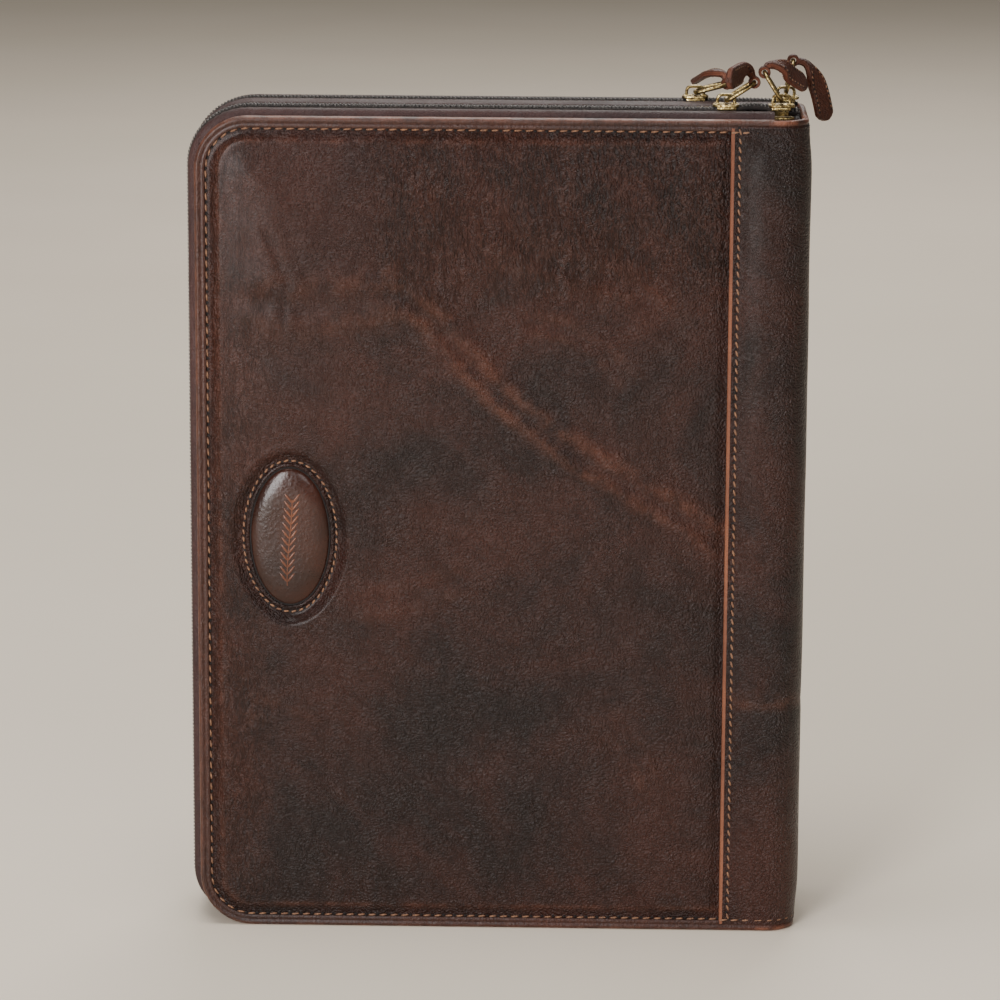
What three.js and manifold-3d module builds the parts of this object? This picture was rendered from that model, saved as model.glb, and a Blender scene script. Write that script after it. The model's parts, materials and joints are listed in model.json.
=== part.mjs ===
// A bible in a zip-around leather case, standing on its bottom edge.
// Millimetres, +Z up. The front cover faces -Y, the spine is at +X, the zips run round -X.
// Two covers open outwards from a leather spine. A leaf between them carries a band, and one zip
// on each side of the band closes one cover. The bible's own boards sit in sleeves, one on the
// front cover's inside and one on the leaf.

import * as THREE from "three";
import { mergeVertices } from "three/addons/utils/BufferGeometryUtils.js";
import Module from "manifold-3d";

const wasm = await Module();
wasm.setup();

// ---------------------------------------------------------------- driving dimensions

const gap = 0.3; // clearance between neighbours that don't share a seam
const seam = 0.2; // clearance between layers of one sandwich

const height = 267; // covers, bottom edge to top edge
const thick = 50; // outside to outside, front to back
const hingeX = 86; // where the covers fold against the spine
const coverW = 184; // fold to zipped edge
const spineDepth = 12; // fold to the spine's outermost face
const cornerR = 17; // cover corners at the zipped edge
const fore = hingeX - coverW;
const back = hingeX + spineDepth;

const yokeW = 14; // how far the spine leather laps over the covers
const yokeT = 1.0;
const leatherT = 1.2;
const foamT = 1.0;
const boardT = 1.2;
const liningT = 0.6;
const bindW = 2.2; // the bound edge, seen from the front
const spineBindDepth = 3.0;
const capT = 1.0; // the leather that closes each end of the spine

const chainDepth = 15; // each zip's centre line, below the outside of its cover
const chainY = thick / 2 - chainDepth;
const coilW = 1.7;
const coilH = 1.6;
const coilGap = 1.0; // between the two coil halves, where the slider's wedge runs
const tapeT = 0.6;
const strapT = 1.0; // gussets and centre band
const zipEndX = back - spineBindDepth - 1;

// how far each strip stands out past the covers' edge: at the zipped edge, the top, the bottom
const gussetCrown = { left: 2.4, top: 1.6, bottom: -0.5 };
const bandCrown = { left: 3.0, top: 2.0, bottom: -0.5 };
const coilCrown = { left: 3.2, top: 2.2, bottom: -0.5 };
// the zips' tapes are sewn to the undersides of the gussets and the band
const under = (crown) => crown - strapT - seam;
const tapeCrown = {
  left: under(gussetCrown.left), top: under(gussetCrown.top), bottom: under(gussetCrown.bottom),
};

const patch = { x: fore + 30, z: 131, halfW: 12.9, halfH: 22.8, reach: 3.2, t: foamT - 0.1, padT: 0.9 };

const bibleMargin = { fore: 14, spine: 8, ends: 11 }; // the bible's boards to the covers' edges
const bible = {
  left: fore + bibleMargin.fore, right: hingeX - bibleMargin.spine,
  low: bibleMargin.ends, high: height - bibleMargin.ends,
  boardT: 1.7, square: 3.5,
};
const sleeveT = 0.5;
const sleeveW = 63;
const pocketH = 142;
const pocketRoom = 1.4;
const flyleafT = 0.25;
const turnedPagesT = 3.0; // the pages that turn with the front cover
const ribbon = { fromSpine: 18, w: 4, t: 0.4, tail: 10.5 };
const leafT = 1.4;
const leafLiningT = 0.4;

const slider = { length: 8.7, width: 7.0, plateT: 1.0, wedgeT: coilGap - 2 * gap, wedgeL: 4.6 };
const ring = { long: 5.3, wide: 4.0, wire: 0.65 }; // half-lengths of its centre line, and its radius
const bail = { reach: slider.length / 2 - 1.05, bar: 1.1, width: 1.6, window: 2 * ring.wire + 3 * gap };
const eyeHole = ring.wire + gap;
const pull = { length: 24, neck: 3.6, end: 7.0, t: 2.4, eyeR: eyeHole + 1, eyeHole, eyeW: 3.2 };
const bandHalf = chainY - slider.width / 2 - gap;

// ---------------------------------------------------------------- finishes

const finish = (color, roughness, metalness = 0) =>
  new THREE.MeshStandardMaterial({ color, roughness, metalness });
const hide = finish(0x3e2d2b, 0.45);
const edgeHide = finish(0x5f3223, 0.5);
const patchHide = finish(0x5a3326, 0.3);
const bandHide = finish(0x4d3b3a, 0.6);
const pullHide = finish(0x78412d, 0.5);
const foam = finish(0x8d8a80, 0.9);
const greyboard = finish(0x7c776c, 0.85);
const liningCloth = finish(0x2a201d, 0.8);
const tapeCloth = finish(0x2b2522, 0.85);
const coilNylon = finish(0x191614, 0.4);
const antiqueBrass = finish(0xa99a66, 0.35, 1);
const boardCloth = finish(0x1d1c22, 0.55);
const paper = finish(0xe9e2cf, 0.9);
const bandCotton = finish(0xd9cda8, 0.8);
const ribbonSatin = finish(0x7a1420, 0.4);

// ---------------------------------------------------------------- making solids

const group = new THREE.Group();
group.name = "zip_around_bible";

function add(name, geometry, material) {
  const mesh = new THREE.Mesh(geometry, material);
  mesh.name = name;
  group.add(mesh);
  return mesh;
}

// a solid for the join and cut library, and back
function toSolid(geometry) {
  const bare = geometry.clone();
  for (const key of Object.keys(bare.attributes)) if (key !== "position") bare.deleteAttribute(key);
  const merged = mergeVertices(bare, 1e-4);
  return new wasm.Manifold(new wasm.Mesh({
    numProp: 3,
    vertProperties: Float32Array.from(merged.attributes.position.array),
    triVerts: Uint32Array.from(merged.index.array),
  }));
}

function toGeometry(solid) {
  const mesh = solid.getMesh();
  const geometry = new THREE.BufferGeometry();
  geometry.setAttribute("position", new THREE.BufferAttribute(mesh.vertProperties, 3));
  geometry.setIndex(new THREE.BufferAttribute(mesh.triVerts, 1));
  const loose = geometry.toNonIndexed();
  loose.computeVertexNormals();
  return loose;
}

const join = (...parts) => toGeometry(wasm.Manifold.union(parts.map(toSolid)));

// a box from its two corners
function block([x0, y0, z0], [x1, y1, z1]) {
  return new THREE.BoxGeometry(x1 - x0, y1 - y0, z1 - z0)
    .translate((x0 + x1) / 2, (y0 + y1) / 2, (z0 + z1) / 2);
}

// an outline drawn in x and z, given depth along y
function alongY(shape, [y0, y1], curveSegments = 10) {
  return new THREE.ExtrudeGeometry(shape, { depth: y1 - y0, bevelEnabled: false, curveSegments })
    .rotateX(Math.PI / 2).translate(0, y1, 0);
}

// an outline drawn in x and y, given height along z
function alongZ(shape, [z0, z1], curveSegments = 8) {
  return new THREE.ExtrudeGeometry(shape, { depth: z1 - z0, bevelEnabled: false, curveSegments })
    .translate(0, 0, z0);
}

// depth below the outside of the front (side -1) or back (side 1) cover, as a span along y
function layer(side, from, to) {
  const ends = [side * (thick / 2 - from), side * (thick / 2 - to)];
  return [Math.min(...ends), Math.max(...ends)];
}

// a cover's outline, set in from the edge: round corners at the zips, square ones at the spine
function coverShape(inset, right = hingeX - gap) {
  const r = cornerR - inset;
  const [cx, low, high] = [fore + cornerR, cornerR, height - cornerR];
  const shape = new THREE.Shape();
  shape.moveTo(right, inset);
  shape.lineTo(right, height - inset);
  shape.lineTo(cx, height - inset);
  shape.absarc(cx, high, r, Math.PI / 2, Math.PI, false);
  shape.lineTo(fore + inset, low);
  shape.absarc(cx, low, r, Math.PI, Math.PI * 1.5, false);
  return shape;
}

// a strip that runs along the top, round the zipped edge and along the bottom
function stripShape(crown, t, right = hingeX - gap) {
  const [cx, low, high] = [fore + cornerR, cornerR, height - cornerR];
  const [rx, top, bottom] = [cornerR + crown.left, cornerR + crown.top, cornerR + crown.bottom];
  const shape = new THREE.Shape();
  shape.moveTo(right, high + top - t);
  shape.lineTo(right, high + top);
  shape.lineTo(cx, high + top);
  shape.absellipse(cx, high, rx, top, Math.PI / 2, Math.PI, false);
  shape.lineTo(cx - rx, low);
  shape.absellipse(cx, low, rx, bottom, Math.PI, Math.PI * 1.5, false);
  shape.lineTo(right, low - bottom);
  shape.lineTo(right, low - bottom + t);
  shape.lineTo(cx, low - bottom + t);
  shape.absellipse(cx, low, rx - t, bottom - t, Math.PI * 1.5, Math.PI, true);
  shape.lineTo(cx - rx + t, high);
  shape.absellipse(cx, high, rx - t, top - t, Math.PI, Math.PI / 2, true);
  return shape;
}

// a shallow tray: a flat sheet with a raised rim on three sides, sewn to what lies behind it
function tray([x0, x1], [z0, z1], sheetY, rimY, rim, openTop) {
  const sheet = block([x0, sheetY[0], z0], [x1, sheetY[1], z1]);
  const y = [Math.min(sheetY[0], rimY[0]), Math.max(sheetY[1], rimY[1])];
  const sides = [
    block([x0, y[0], z0], [x0 + rim, y[1], z1]),
    block([x0, y[0], z0], [x1, y[1], z0 + rim]),
    openTop
      ? block([x1 - rim, y[0], z0], [x1, y[1], z1])
      : block([x0, y[0], z1 - rim], [x1, y[1], z1]),
  ];
  return join(sheet, ...sides);
}

// ---------------------------------------------------------------- covers

// depths of a cover's layers, from its outside inwards
const depth = {};
depth.leather = [yokeT + seam, yokeT + seam + leatherT];
depth.foam = [depth.leather[1] + seam, depth.leather[1] + seam + foamT];
depth.board = [depth.foam[1] + seam, depth.foam[1] + seam + boardT];
depth.lining = [depth.board[1] + seam, depth.board[1] + seam + liningT];
depth.binding = [seam, depth.lining[1]];
depth.tuck = [depth.lining[1] + gap, depth.lining[1] + gap + bible.boardT];
depth.sleeve = [depth.tuck[1] + seam, depth.tuck[1] + seam + sleeveT];

const coverInset = bindW + seam;

function ellipse(halfW, halfH) {
  const path = new THREE.Shape();
  path.absellipse(patch.x, patch.z, halfW, halfH, 0, Math.PI * 2, false);
  return path;
}

function makeCover(side, end) {
  const outer = coverShape(coverInset);
  const plain = coverShape(coverInset);
  if (side < 0) {
    outer.holes.push(ellipse(patch.halfW, patch.halfH));
    plain.holes.push(ellipse(patch.halfW + patch.reach, patch.halfH + patch.reach));
  }
  add(`${end}_cover_leather`, alongY(outer, layer(side, ...depth.leather)), hide);
  add(`${end}_cover_foam`, alongY(plain, layer(side, ...depth.foam)), foam);
  add(`${end}_cover_board`, alongY(coverShape(coverInset), layer(side, ...depth.board)), greyboard);
  add(`${end}_cover_lining`, alongY(coverShape(coverInset), layer(side, ...depth.lining)), liningCloth);
  const flush = { left: 0, top: 0, bottom: 0 };
  add(`${end}_cover_binding`, alongY(stripShape(flush, bindW), layer(side, ...depth.binding)), edgeHide);
  const yoke = block([hingeX - yokeW, 0, 0], [hingeX - gap, yokeT, height])
    .translate(0, side < 0 ? -thick / 2 : thick / 2 - yokeT, 0);
  add(`${end}_yoke_leather`, cutForBinding(yoke, side), hide);
}

// the yoke lies on the panel between the bound edges at the top and the bottom
function cutForBinding(geometry, side) {
  const y = layer(side, -1, yokeT + 1);
  const ends = [
    block([hingeX - yokeW - 1, y[0], -1], [hingeX, y[1], bindW + seam]),
    block([hingeX - yokeW - 1, y[0], height - bindW - seam], [hingeX, y[1], height + 1]),
  ];
  return toGeometry(toSolid(geometry).subtract(wasm.Manifold.union(ends.map(toSolid))));
}

makeCover(-1, "front");
makeCover(1, "back");

// the oval patch shows through a window in the cover leather, over its own pad
function makePatch() {
  const front = -thick / 2 + depth.leather[0];
  const wide = ellipse(patch.halfW + patch.reach - gap, patch.halfH + patch.reach - gap);
  const base = front + leatherT + seam;
  const inside = ellipse(patch.halfW - gap, patch.halfH - gap);
  add("oval_patch_pad", alongY(inside, [front, front + patch.padT], 8), patchHide);
  add("oval_patch", alongY(wide, [base, base + patch.t], 8), patchHide);
}
makePatch();

// the sleeves reach round the fore-edge of the bible's boards
const sleeveX = [bible.left - 3, bible.left - 3 + sleeveW];
const sleeveZ = [bible.low - 3, bible.high + 3];

// the sleeve that holds the bible's front board, and the flat pocket in the back cover
function makePockets() {
  const [s0, s1] = layer(-1, ...depth.sleeve);
  const [, liningFace] = layer(-1, ...depth.lining);
  add("front_sleeve", tray(sleeveX, sleeveZ, [s0, s1], [liningFace + seam, s0], 2, false), liningCloth);
  const sheetDepth = depth.lining[1] + seam + pocketRoom;
  const pocket = layer(1, sheetDepth, sheetDepth + liningT);
  const behind = layer(1, depth.lining[1] + seam, sheetDepth);
  add("back_pocket", tray([fore + 10, hingeX - 8], [8, 8 + pocketH], pocket, behind, 2, true), liningCloth);
}
makePockets();

// ---------------------------------------------------------------- zips, gussets and band

const leafFace = leafT / 2 + seam + leafLiningT;

// side -1 is the front zip, 1 the rear one; distances count from its centre line, outwards
function acrossZip(side, from, to) {
  const ends = [side * (chainY + from), side * (chainY + to)];
  return [Math.min(...ends), Math.max(...ends)];
}

function makeZip(side, end) {
  const clear = coilGap / 2;
  const lap = clear + coilW + seam / 2;
  const toCover = chainDepth - depth.lining[1] - gap;
  const toLeaf = chainY - leafFace - gap;
  add(`${end}_zip_outer_coil`,
    alongY(stripShape(coilCrown, coilH), acrossZip(side, clear, clear + coilW)), coilNylon);
  add(`${end}_zip_inner_coil`,
    alongY(stripShape(coilCrown, coilH, zipEndX), acrossZip(side, -clear - coilW, -clear)), coilNylon);
  add(`${end}_zip_outer_tape`,
    alongY(stripShape(tapeCrown, tapeT), acrossZip(side, lap, toCover)), tapeCloth);
  add(`${end}_zip_inner_tape`,
    alongY(stripShape(tapeCrown, tapeT, zipEndX), acrossZip(side, -toLeaf, -lap)), tapeCloth);
  const reach = [chainY + slider.width / 2 + gap, thick / 2 - depth.lining[1] - gap];
  const gussetY = side < 0 ? [-reach[1], -reach[0]] : reach;
  add(`${end}_gusset`, alongY(stripShape(gussetCrown, strapT), gussetY), bandHide);
}
makeZip(-1, "front");
makeZip(1, "rear");

// ---------------------------------------------------------------- the leaf between the compartments

function makeLeaf() {
  const inset = 2.4;
  const edge = hingeX - gap;
  add("centre_band", alongY(stripShape(bandCrown, strapT), [-bandHalf, bandHalf]), bandHide);
  add("centre_leaf_board", alongY(coverShape(inset, edge), [-leafT / 2, leafT / 2]), greyboard);
  for (const [name, side] of [["front", -1], ["rear", 1]]) {
    const y = [side * (leafT / 2 + seam), side * leafFace].sort((a, b) => a - b);
    add(`centre_leaf_${name}_lining`, alongY(coverShape(inset, edge), y), liningCloth);
  }
}
makeLeaf();

// ---------------------------------------------------------------- the bible

const pages = {
  left: bible.left + bible.square,
  right: bible.right,
  low: bible.low + bible.square,
  high: bible.high - bible.square,
};

// where the bible's layers lie along y
const rearBoard = [-leafFace - gap - bible.boardT, -leafFace - gap];
const leafSleeve = [rearBoard[0] - seam - sleeveT, rearBoard[0] - seam];
const frontBoard = layer(-1, ...depth.tuck);
const frontSleeve = layer(-1, ...depth.sleeve);
const flyleafY = [frontSleeve[1] + seam, frontSleeve[1] + seam + flyleafT];
const turnedY = [flyleafY[1] + seam, flyleafY[1] + seam + turnedPagesT];
const ribbonY = [turnedY[1] + seam, turnedY[1] + seam + ribbon.t];
const blockY = [ribbonY[1] + seam, leafSleeve[0] - seam];

function makeBible() {
  const board = (y) => block([bible.left, y[0], bible.low], [bible.right - gap, y[1], bible.high]);
  add("bible_front_board", board(frontBoard), boardCloth);
  add("bible_back_board", board(rearBoard), boardCloth);
  add("centre_sleeve",
    tray(sleeveX, sleeveZ, leafSleeve, [leafSleeve[1], -leafFace - seam], 2, false), liningCloth);

  const leaves = (y) => block([pages.left, y[0], pages.low], [pages.right, y[1], pages.high]);
  add("front_flyleaf", leaves(flyleafY), paper);
  add("front_page_block", leaves(turnedY), paper);

  // the main block's fore-edge is hollowed and its spine side rounded
  const [y0, y1] = blockY;
  const mid = (y0 + y1) / 2;
  const outline = new THREE.Shape();
  outline.moveTo(pages.left, y0);
  outline.lineTo(pages.right - 0.8, y0);
  outline.quadraticCurveTo(pages.right + 0.8, mid, pages.right - 0.8, y1);
  outline.lineTo(pages.left, y1);
  outline.quadraticCurveTo(pages.left + 2.4, mid, pages.left, y0);
  add("page_block", alongZ(outline, [pages.low, pages.high]), paper);

  const spineX = pages.right + 1.8;
  const cover = new THREE.Shape();
  const [s0, s1] = [flyleafY[0] + seam, rearBoard[1]];
  cover.moveTo(spineX, s0);
  cover.quadraticCurveTo(spineX + 2.4, (s0 + s1) / 2, spineX, s1);
  cover.lineTo(spineX - 1.2, s1);
  cover.quadraticCurveTo(spineX + 1.2, (s0 + s1) / 2, spineX - 1.2, s0);
  add("bible_spine_cover", alongZ(cover, [bible.low, bible.high], 6), boardCloth);

  const bandX = [pages.right - 3, pages.right - 0.6];
  for (const [name, z] of [["head_band", pages.high + seam], ["tail_band", pages.low - seam - 1.4]]) {
    add(name, block([bandX[0], y0, z], [bandX[1], y1, z + 1.4]), bandCotton);
  }
  const ribbonX = bible.right - ribbon.fromSpine;
  add("ribbon_marker",
    block([ribbonX, ribbonY[0], pages.low - ribbon.tail], [ribbonX + ribbon.w, ribbonY[1], pages.high - 2]),
    ribbonSatin);
}
makeBible();

// ---------------------------------------------------------------- the spine

// a rounded channel, open towards the covers
function spineShape(inset, t) {
  const x = hingeX + gap;
  const r = back - x;
  const y = thick / 2 - r;
  const shape = new THREE.Shape();
  shape.moveTo(x, -thick / 2 + inset);
  shape.absarc(x, -y, r - inset, -Math.PI / 2, 0, false);
  shape.lineTo(back - inset, y);
  shape.absarc(x, y, r - inset, 0, Math.PI / 2, false);
  shape.lineTo(x, thick / 2 - inset - t);
  shape.absarc(x, y, r - inset - t, Math.PI / 2, 0, true);
  shape.lineTo(back - inset - t, -y);
  shape.absarc(x, -y, r - inset - t, 0, -Math.PI / 2, true);
  return shape;
}

function makeSpine() {
  const clear = bindW + seam;
  add("spine_leather", alongZ(spineShape(seam, leatherT), [clear, height - clear]), hide);
  const inner = bindW + capT + 2 * gap;
  const boardX = back - seam * 2 - leatherT;
  const flat = thick / 2 - spineDepth - 1;
  add("spine_board", block([boardX - boardT, -flat, inner], [boardX, flat, height - inner]), greyboard);
  add("spine_lining",
    alongZ(spineShape(leatherT + boardT + 3 * seam, liningT), [inner, height - inner]), liningCloth);
  add("spine_top_binding", alongZ(spineShape(0, spineBindDepth), [height - bindW, height]), edgeHide);
  add("spine_bottom_binding", alongZ(spineShape(0, spineBindDepth), [0, bindW]), edgeHide);

  const [x, end] = [hingeX + gap, back - spineBindDepth - gap];
  const y = thick / 2 - spineBindDepth - gap;
  const r = end - x;
  const cap = new THREE.Shape();
  cap.moveTo(x, -y);
  cap.absarc(x, -y + r, r, -Math.PI / 2, 0, false);
  cap.lineTo(end, y - r);
  cap.absarc(x, y - r, r, 0, Math.PI / 2, false);
  add("spine_top_cap", alongZ(cap, [height - bindW - gap - capT, height - bindW - gap]), bandHide);
  add("spine_bottom_cap", alongZ(cap, [bindW + gap, bindW + gap + capT]), bandHide);
}
makeSpine();

// ---------------------------------------------------------------- sliders, rings and pulls

const plateLow = height + coilCrown.top + gap;
const plateTop = plateLow + slider.plateT;
const pivotZ = plateTop + bail.window / 2;

// two plates joined by a wedge between the coil halves, with an arched bail on top
function sliderGeometry() {
  const [l, w] = [slider.length / 2, slider.width / 2];
  const under = height + tapeCrown.top - tapeT - gap;
  const top = block([-l, -w, plateLow], [l, w, plateTop]);
  const bottom = block([-l, -w, under - slider.plateT], [l, w, under]);
  const t = slider.wedgeT / 2;
  const wedge = block([-slider.wedgeL / 2, -t, under - 0.5], [slider.wedgeL / 2, t, plateLow + 0.5]);

  const arch = new THREE.Shape();
  const [foot, head] = [plateTop - 0.4, plateTop + bail.window];
  const inner = bail.reach - bail.bar;
  arch.moveTo(-bail.reach, foot);
  arch.lineTo(-bail.reach, head - 0.6);
  arch.quadraticCurveTo(-bail.reach, head + bail.bar, 0, head + bail.bar);
  arch.quadraticCurveTo(bail.reach, head + bail.bar, bail.reach, head - 0.6);
  arch.lineTo(bail.reach, foot);
  arch.lineTo(inner, foot);
  arch.lineTo(inner, head - 0.6);
  arch.quadraticCurveTo(inner, head, 0, head);
  arch.quadraticCurveTo(-inner, head, -inner, head - 0.6);
  arch.lineTo(-inner, foot);
  return join(top, bottom, wedge, alongY(arch, [-bail.width / 2, bail.width / 2], 4));
}

// the ring's centre line: a rounded oval from the pivot, flat enough at its ends to turn in an eye
class RingCurve extends THREE.Curve {
  getPoint(t, target = new THREE.Vector3()) {
    const a = t * Math.PI * 2;
    const soft = (v) => Math.sign(v) * Math.abs(v) ** 0.56;
    return target.set(ring.long * (1 + soft(Math.cos(a))), ring.wide * soft(Math.sin(a)), 0);
  }
}

// a doubled leather strap that leaves an eye round the ring and follows a route, turning as it goes
function pullGeometry(route, turn) {
  const curve = new THREE.CatmullRomCurve3([
    new THREE.Vector3(0, 0, 0), ...route.map((p) => new THREE.Vector3(...p)),
  ]);
  const full = curve.getLength();
  const start = (pull.eyeHole + pull.eyeR) / 2;
  const strap = new THREE.BoxGeometry(1, 1, 1, 12, 1, 1);
  const at = strap.attributes.position;
  for (let i = 0; i < at.count; i++) {
    const s = at.getX(i) + 0.5;
    const along = start + (pull.length - start) * s;
    const point = curve.getPointAt(Math.min(along / full, 1));
    const ahead = curve.getTangentAt(Math.min(along / full, 1));
    const flare = THREE.MathUtils.smoothstep(s, 0.05, 0.45);
    const tip = s > 0.88 ? Math.sqrt(1 - ((s - 0.88) / 0.125) ** 2) : 1;
    const width = (pull.neck + (pull.end - pull.neck) * flare) * Math.max(tip, 0.3);
    const angle = turn * THREE.MathUtils.smoothstep(s, 0.0, 0.5);
    const side = new THREE.Vector3(0, 1, 0).projectOnPlane(ahead).normalize().applyAxisAngle(ahead, angle);
    const up = new THREE.Vector3().crossVectors(ahead, side);
    point.addScaledVector(side, at.getY(i) * width).addScaledVector(up, at.getZ(i) * pull.t);
    at.setXYZ(i, point.x, point.y, point.z);
  }
  const eye = new THREE.Shape();
  eye.absarc(0, 0, pull.eyeR, 0, Math.PI * 2, false);
  const hole = new THREE.Path();
  hole.absarc(0, 0, pull.eyeHole, 0, Math.PI * 2, true);
  eye.holes.push(hole);
  const drum = new THREE.ExtrudeGeometry(eye, { depth: pull.eyeW, bevelEnabled: false, curveSegments: 8 })
    .rotateX(Math.PI / 2).translate(0, pull.eyeW / 2, 0);
  return join(strap, drum);
}

const lastSlider = zipEndX + 0.5 - slider.length / 2; // where the last slider meets the zip's end
const between = 2 * chainY; // from one zip to the other
const hangLean = 78;
const eyeX = lastSlider + 2 * ring.long * Math.cos(THREE.MathUtils.degToRad(hangLean));
const hang = back - eyeX; // how far the hanging pull reaches to clear the spine

// x: the slider's middle. lean: the ring's angle above +x. route: the pull's way from the ring's end.
const sets = [
  { name: "front_a", side: -1, x: lastSlider - 19.65, lean: 33, turn: 1.35,
    route: [[-1.2, -0.6, 2.6], [-3.5, -6, 4], [-9.5, -22, 3]] },
  { name: "front_b", side: -1, x: lastSlider - 2, lean: 122, turn: 0.6,
    route: [[1.6, 0.06 * between, 2], [6, 0.22 * between, 1], [9, 0.4 * between, -2],
      [13.5, 0.7 * between, -5.5]] },
  { name: "rear_a", side: 1, x: lastSlider - 29.15, lean: 15, turn: 0.25,
    route: [[-1, 1.5, 2.4], [-5, 9, 2], [-10, 22, -2]] },
  { name: "rear_b", side: 1, x: lastSlider, lean: hangLean, turn: 0.9,
    route: [[hang - 1.05, 0.5, -1.6], [hang + 2.95, 1, -10], [hang + 6.35, 1.5, -25]] },
];

for (const { name, side, x, lean, turn, route } of sets) {
  const row = side * chainY;
  const tilt = THREE.MathUtils.degToRad(lean);
  add(`${name}_slider`, sliderGeometry().translate(x, row, 0), antiqueBrass);
  const wire = new THREE.TubeGeometry(new RingCurve(), 28, ring.wire, 6, true);
  add(`${name}_ring`, wire.rotateY(-tilt).translate(x, row, pivotZ), antiqueBrass);
  const reach = 2 * ring.long;
  const eye = [x + reach * Math.cos(tilt), row, pivotZ + reach * Math.sin(tilt)];
  add(`${name}_pull`, pullGeometry(route, turn).translate(...eye), pullHide);
}

// the frame's origin is the middle of the bottom
const bounds = new THREE.Box3().setFromObject(group);
const middle = bounds.getCenter(new THREE.Vector3());
group.position.set(-middle.x, -middle.y, -bounds.min.z);

export default group;
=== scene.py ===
"""A bible in a dark brown zip-around leather case, standing on its bottom edge.

Lengths are metres in the row frame: the front cover faces -Y, the spine is at +X, the zips run round -X.
"""

import json
import math

import bmesh
import bpy
from mathutils import Matrix, Vector, noise
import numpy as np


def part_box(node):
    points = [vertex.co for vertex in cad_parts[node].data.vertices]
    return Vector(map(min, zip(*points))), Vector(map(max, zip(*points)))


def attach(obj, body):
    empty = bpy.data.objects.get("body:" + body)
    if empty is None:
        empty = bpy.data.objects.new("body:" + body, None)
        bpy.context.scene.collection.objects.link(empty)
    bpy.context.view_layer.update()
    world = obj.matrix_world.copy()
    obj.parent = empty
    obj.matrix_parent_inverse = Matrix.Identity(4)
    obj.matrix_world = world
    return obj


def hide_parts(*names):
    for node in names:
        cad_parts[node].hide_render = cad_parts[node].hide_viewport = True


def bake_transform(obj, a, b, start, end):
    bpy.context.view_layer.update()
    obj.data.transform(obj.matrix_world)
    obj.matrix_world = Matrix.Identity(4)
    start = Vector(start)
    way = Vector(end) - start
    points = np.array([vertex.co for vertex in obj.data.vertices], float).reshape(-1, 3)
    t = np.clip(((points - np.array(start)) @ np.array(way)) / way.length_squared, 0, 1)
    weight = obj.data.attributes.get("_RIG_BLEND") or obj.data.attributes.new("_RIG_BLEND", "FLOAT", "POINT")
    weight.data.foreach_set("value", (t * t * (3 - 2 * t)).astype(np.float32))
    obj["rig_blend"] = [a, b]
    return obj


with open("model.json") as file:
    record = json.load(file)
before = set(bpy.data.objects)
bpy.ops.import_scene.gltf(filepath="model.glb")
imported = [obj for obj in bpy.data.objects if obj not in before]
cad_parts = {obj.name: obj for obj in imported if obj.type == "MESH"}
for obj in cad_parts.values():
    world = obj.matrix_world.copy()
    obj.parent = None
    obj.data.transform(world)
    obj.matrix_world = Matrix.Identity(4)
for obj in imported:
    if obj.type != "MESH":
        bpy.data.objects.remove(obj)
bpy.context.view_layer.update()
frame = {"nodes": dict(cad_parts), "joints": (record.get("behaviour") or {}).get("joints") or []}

MM = 0.001
X, Y, Z = Vector((1, 0, 0)), Vector((0, 1, 0)), Vector((0, 0, 1))
joints = {j["name"]: j for j in frame["joints"]}

# ---------------------------------------------------------------- where the case lies

fore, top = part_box("front_cover_binding")[0].x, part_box("front_cover_binding")[1].z
fold = joints["front_cover_hinge"]["pos_m"][0]
face = {"front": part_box("front_yoke_leather")[0].y, "back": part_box("back_yoke_leather")[1].y}
inwards = {"front": Y, "back": -Y}
spine_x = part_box("spine_top_binding")[1].x - 1.3 * MM  # the leather is drawn tight over the board
middle_y = (face["front"] + face["back"]) / 2
yoke_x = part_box("front_yoke_leather")[0].x
corner = 17 * MM
patch_low, patch_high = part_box("oval_patch_pad")
patch_x, patch_z = (patch_low.x + patch_high.x) / 2, (patch_low.z + patch_high.z) / 2
patch_w, patch_h = (patch_high.x - patch_low.x) / 2, (patch_high.z - patch_low.z) / 2


def smooth(t):
    t = min(max(t, 0.0), 1.0)
    return t * t * (3 - 2 * t)


def bump(distance, width):
    return math.exp(-((distance / width) ** 2))


def rough(x, y, z, size):
    """Slow unevenness from -1 to 1, with lumps of about that size."""
    return noise.noise(Vector((x, y, z)) / size)


# ---------------------------------------------------------------- shader helpers


def tint(red, green, blue):
    """A colour as a paint chart gives it, 0 to 255."""
    def linear(v):
        v /= 255
        return v / 12.92 if v < 0.04045 else ((v + 0.055) / 1.055) ** 2.4
    return (linear(red), linear(green), linear(blue), 1.0)


def put(tree, kind, values=None, **settings):
    """Adds a node, makes its settings, then fills or joins its inputs."""
    made = tree.nodes.new("ShaderNode" + kind)
    for key, value in settings.items():
        setattr(made, key, value)
    for key, value in (values or {}).items():
        if isinstance(value, bpy.types.NodeSocket):
            tree.links.new(value, made.inputs[key])
        else:
            made.inputs[key].default_value = value
    return made


def mix(tree, share, a, b, blend="MIX"):
    return put(tree, "Mix", {0: share, 6: a, 7: b}, data_type="RGBA", blend_type=blend).outputs[2]


def calc(tree, operation, a, b=0.0):
    return put(tree, "Math", {0: a, 1: b}, operation=operation).outputs[0]


def times(tree, a, b):
    return calc(tree, "MULTIPLY", a, b)


def plus(tree, a, b):
    return calc(tree, "ADD", a, b)


def minus(tree, a, b):
    return calc(tree, "SUBTRACT", a, b)


def from_half(tree, value):
    return calc(tree, "ABSOLUTE", minus(tree, value, 0.5))


def between(tree, value, low, high, to_low=0.0, to_high=1.0):
    names = ("Value", "From Min", "From Max", "To Min", "To Max")
    numbers = (value, low, high, to_low, to_high)
    return put(tree, "MapRange", dict(zip(names, numbers)), interpolation_type="SMOOTHSTEP").outputs[0]


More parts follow.
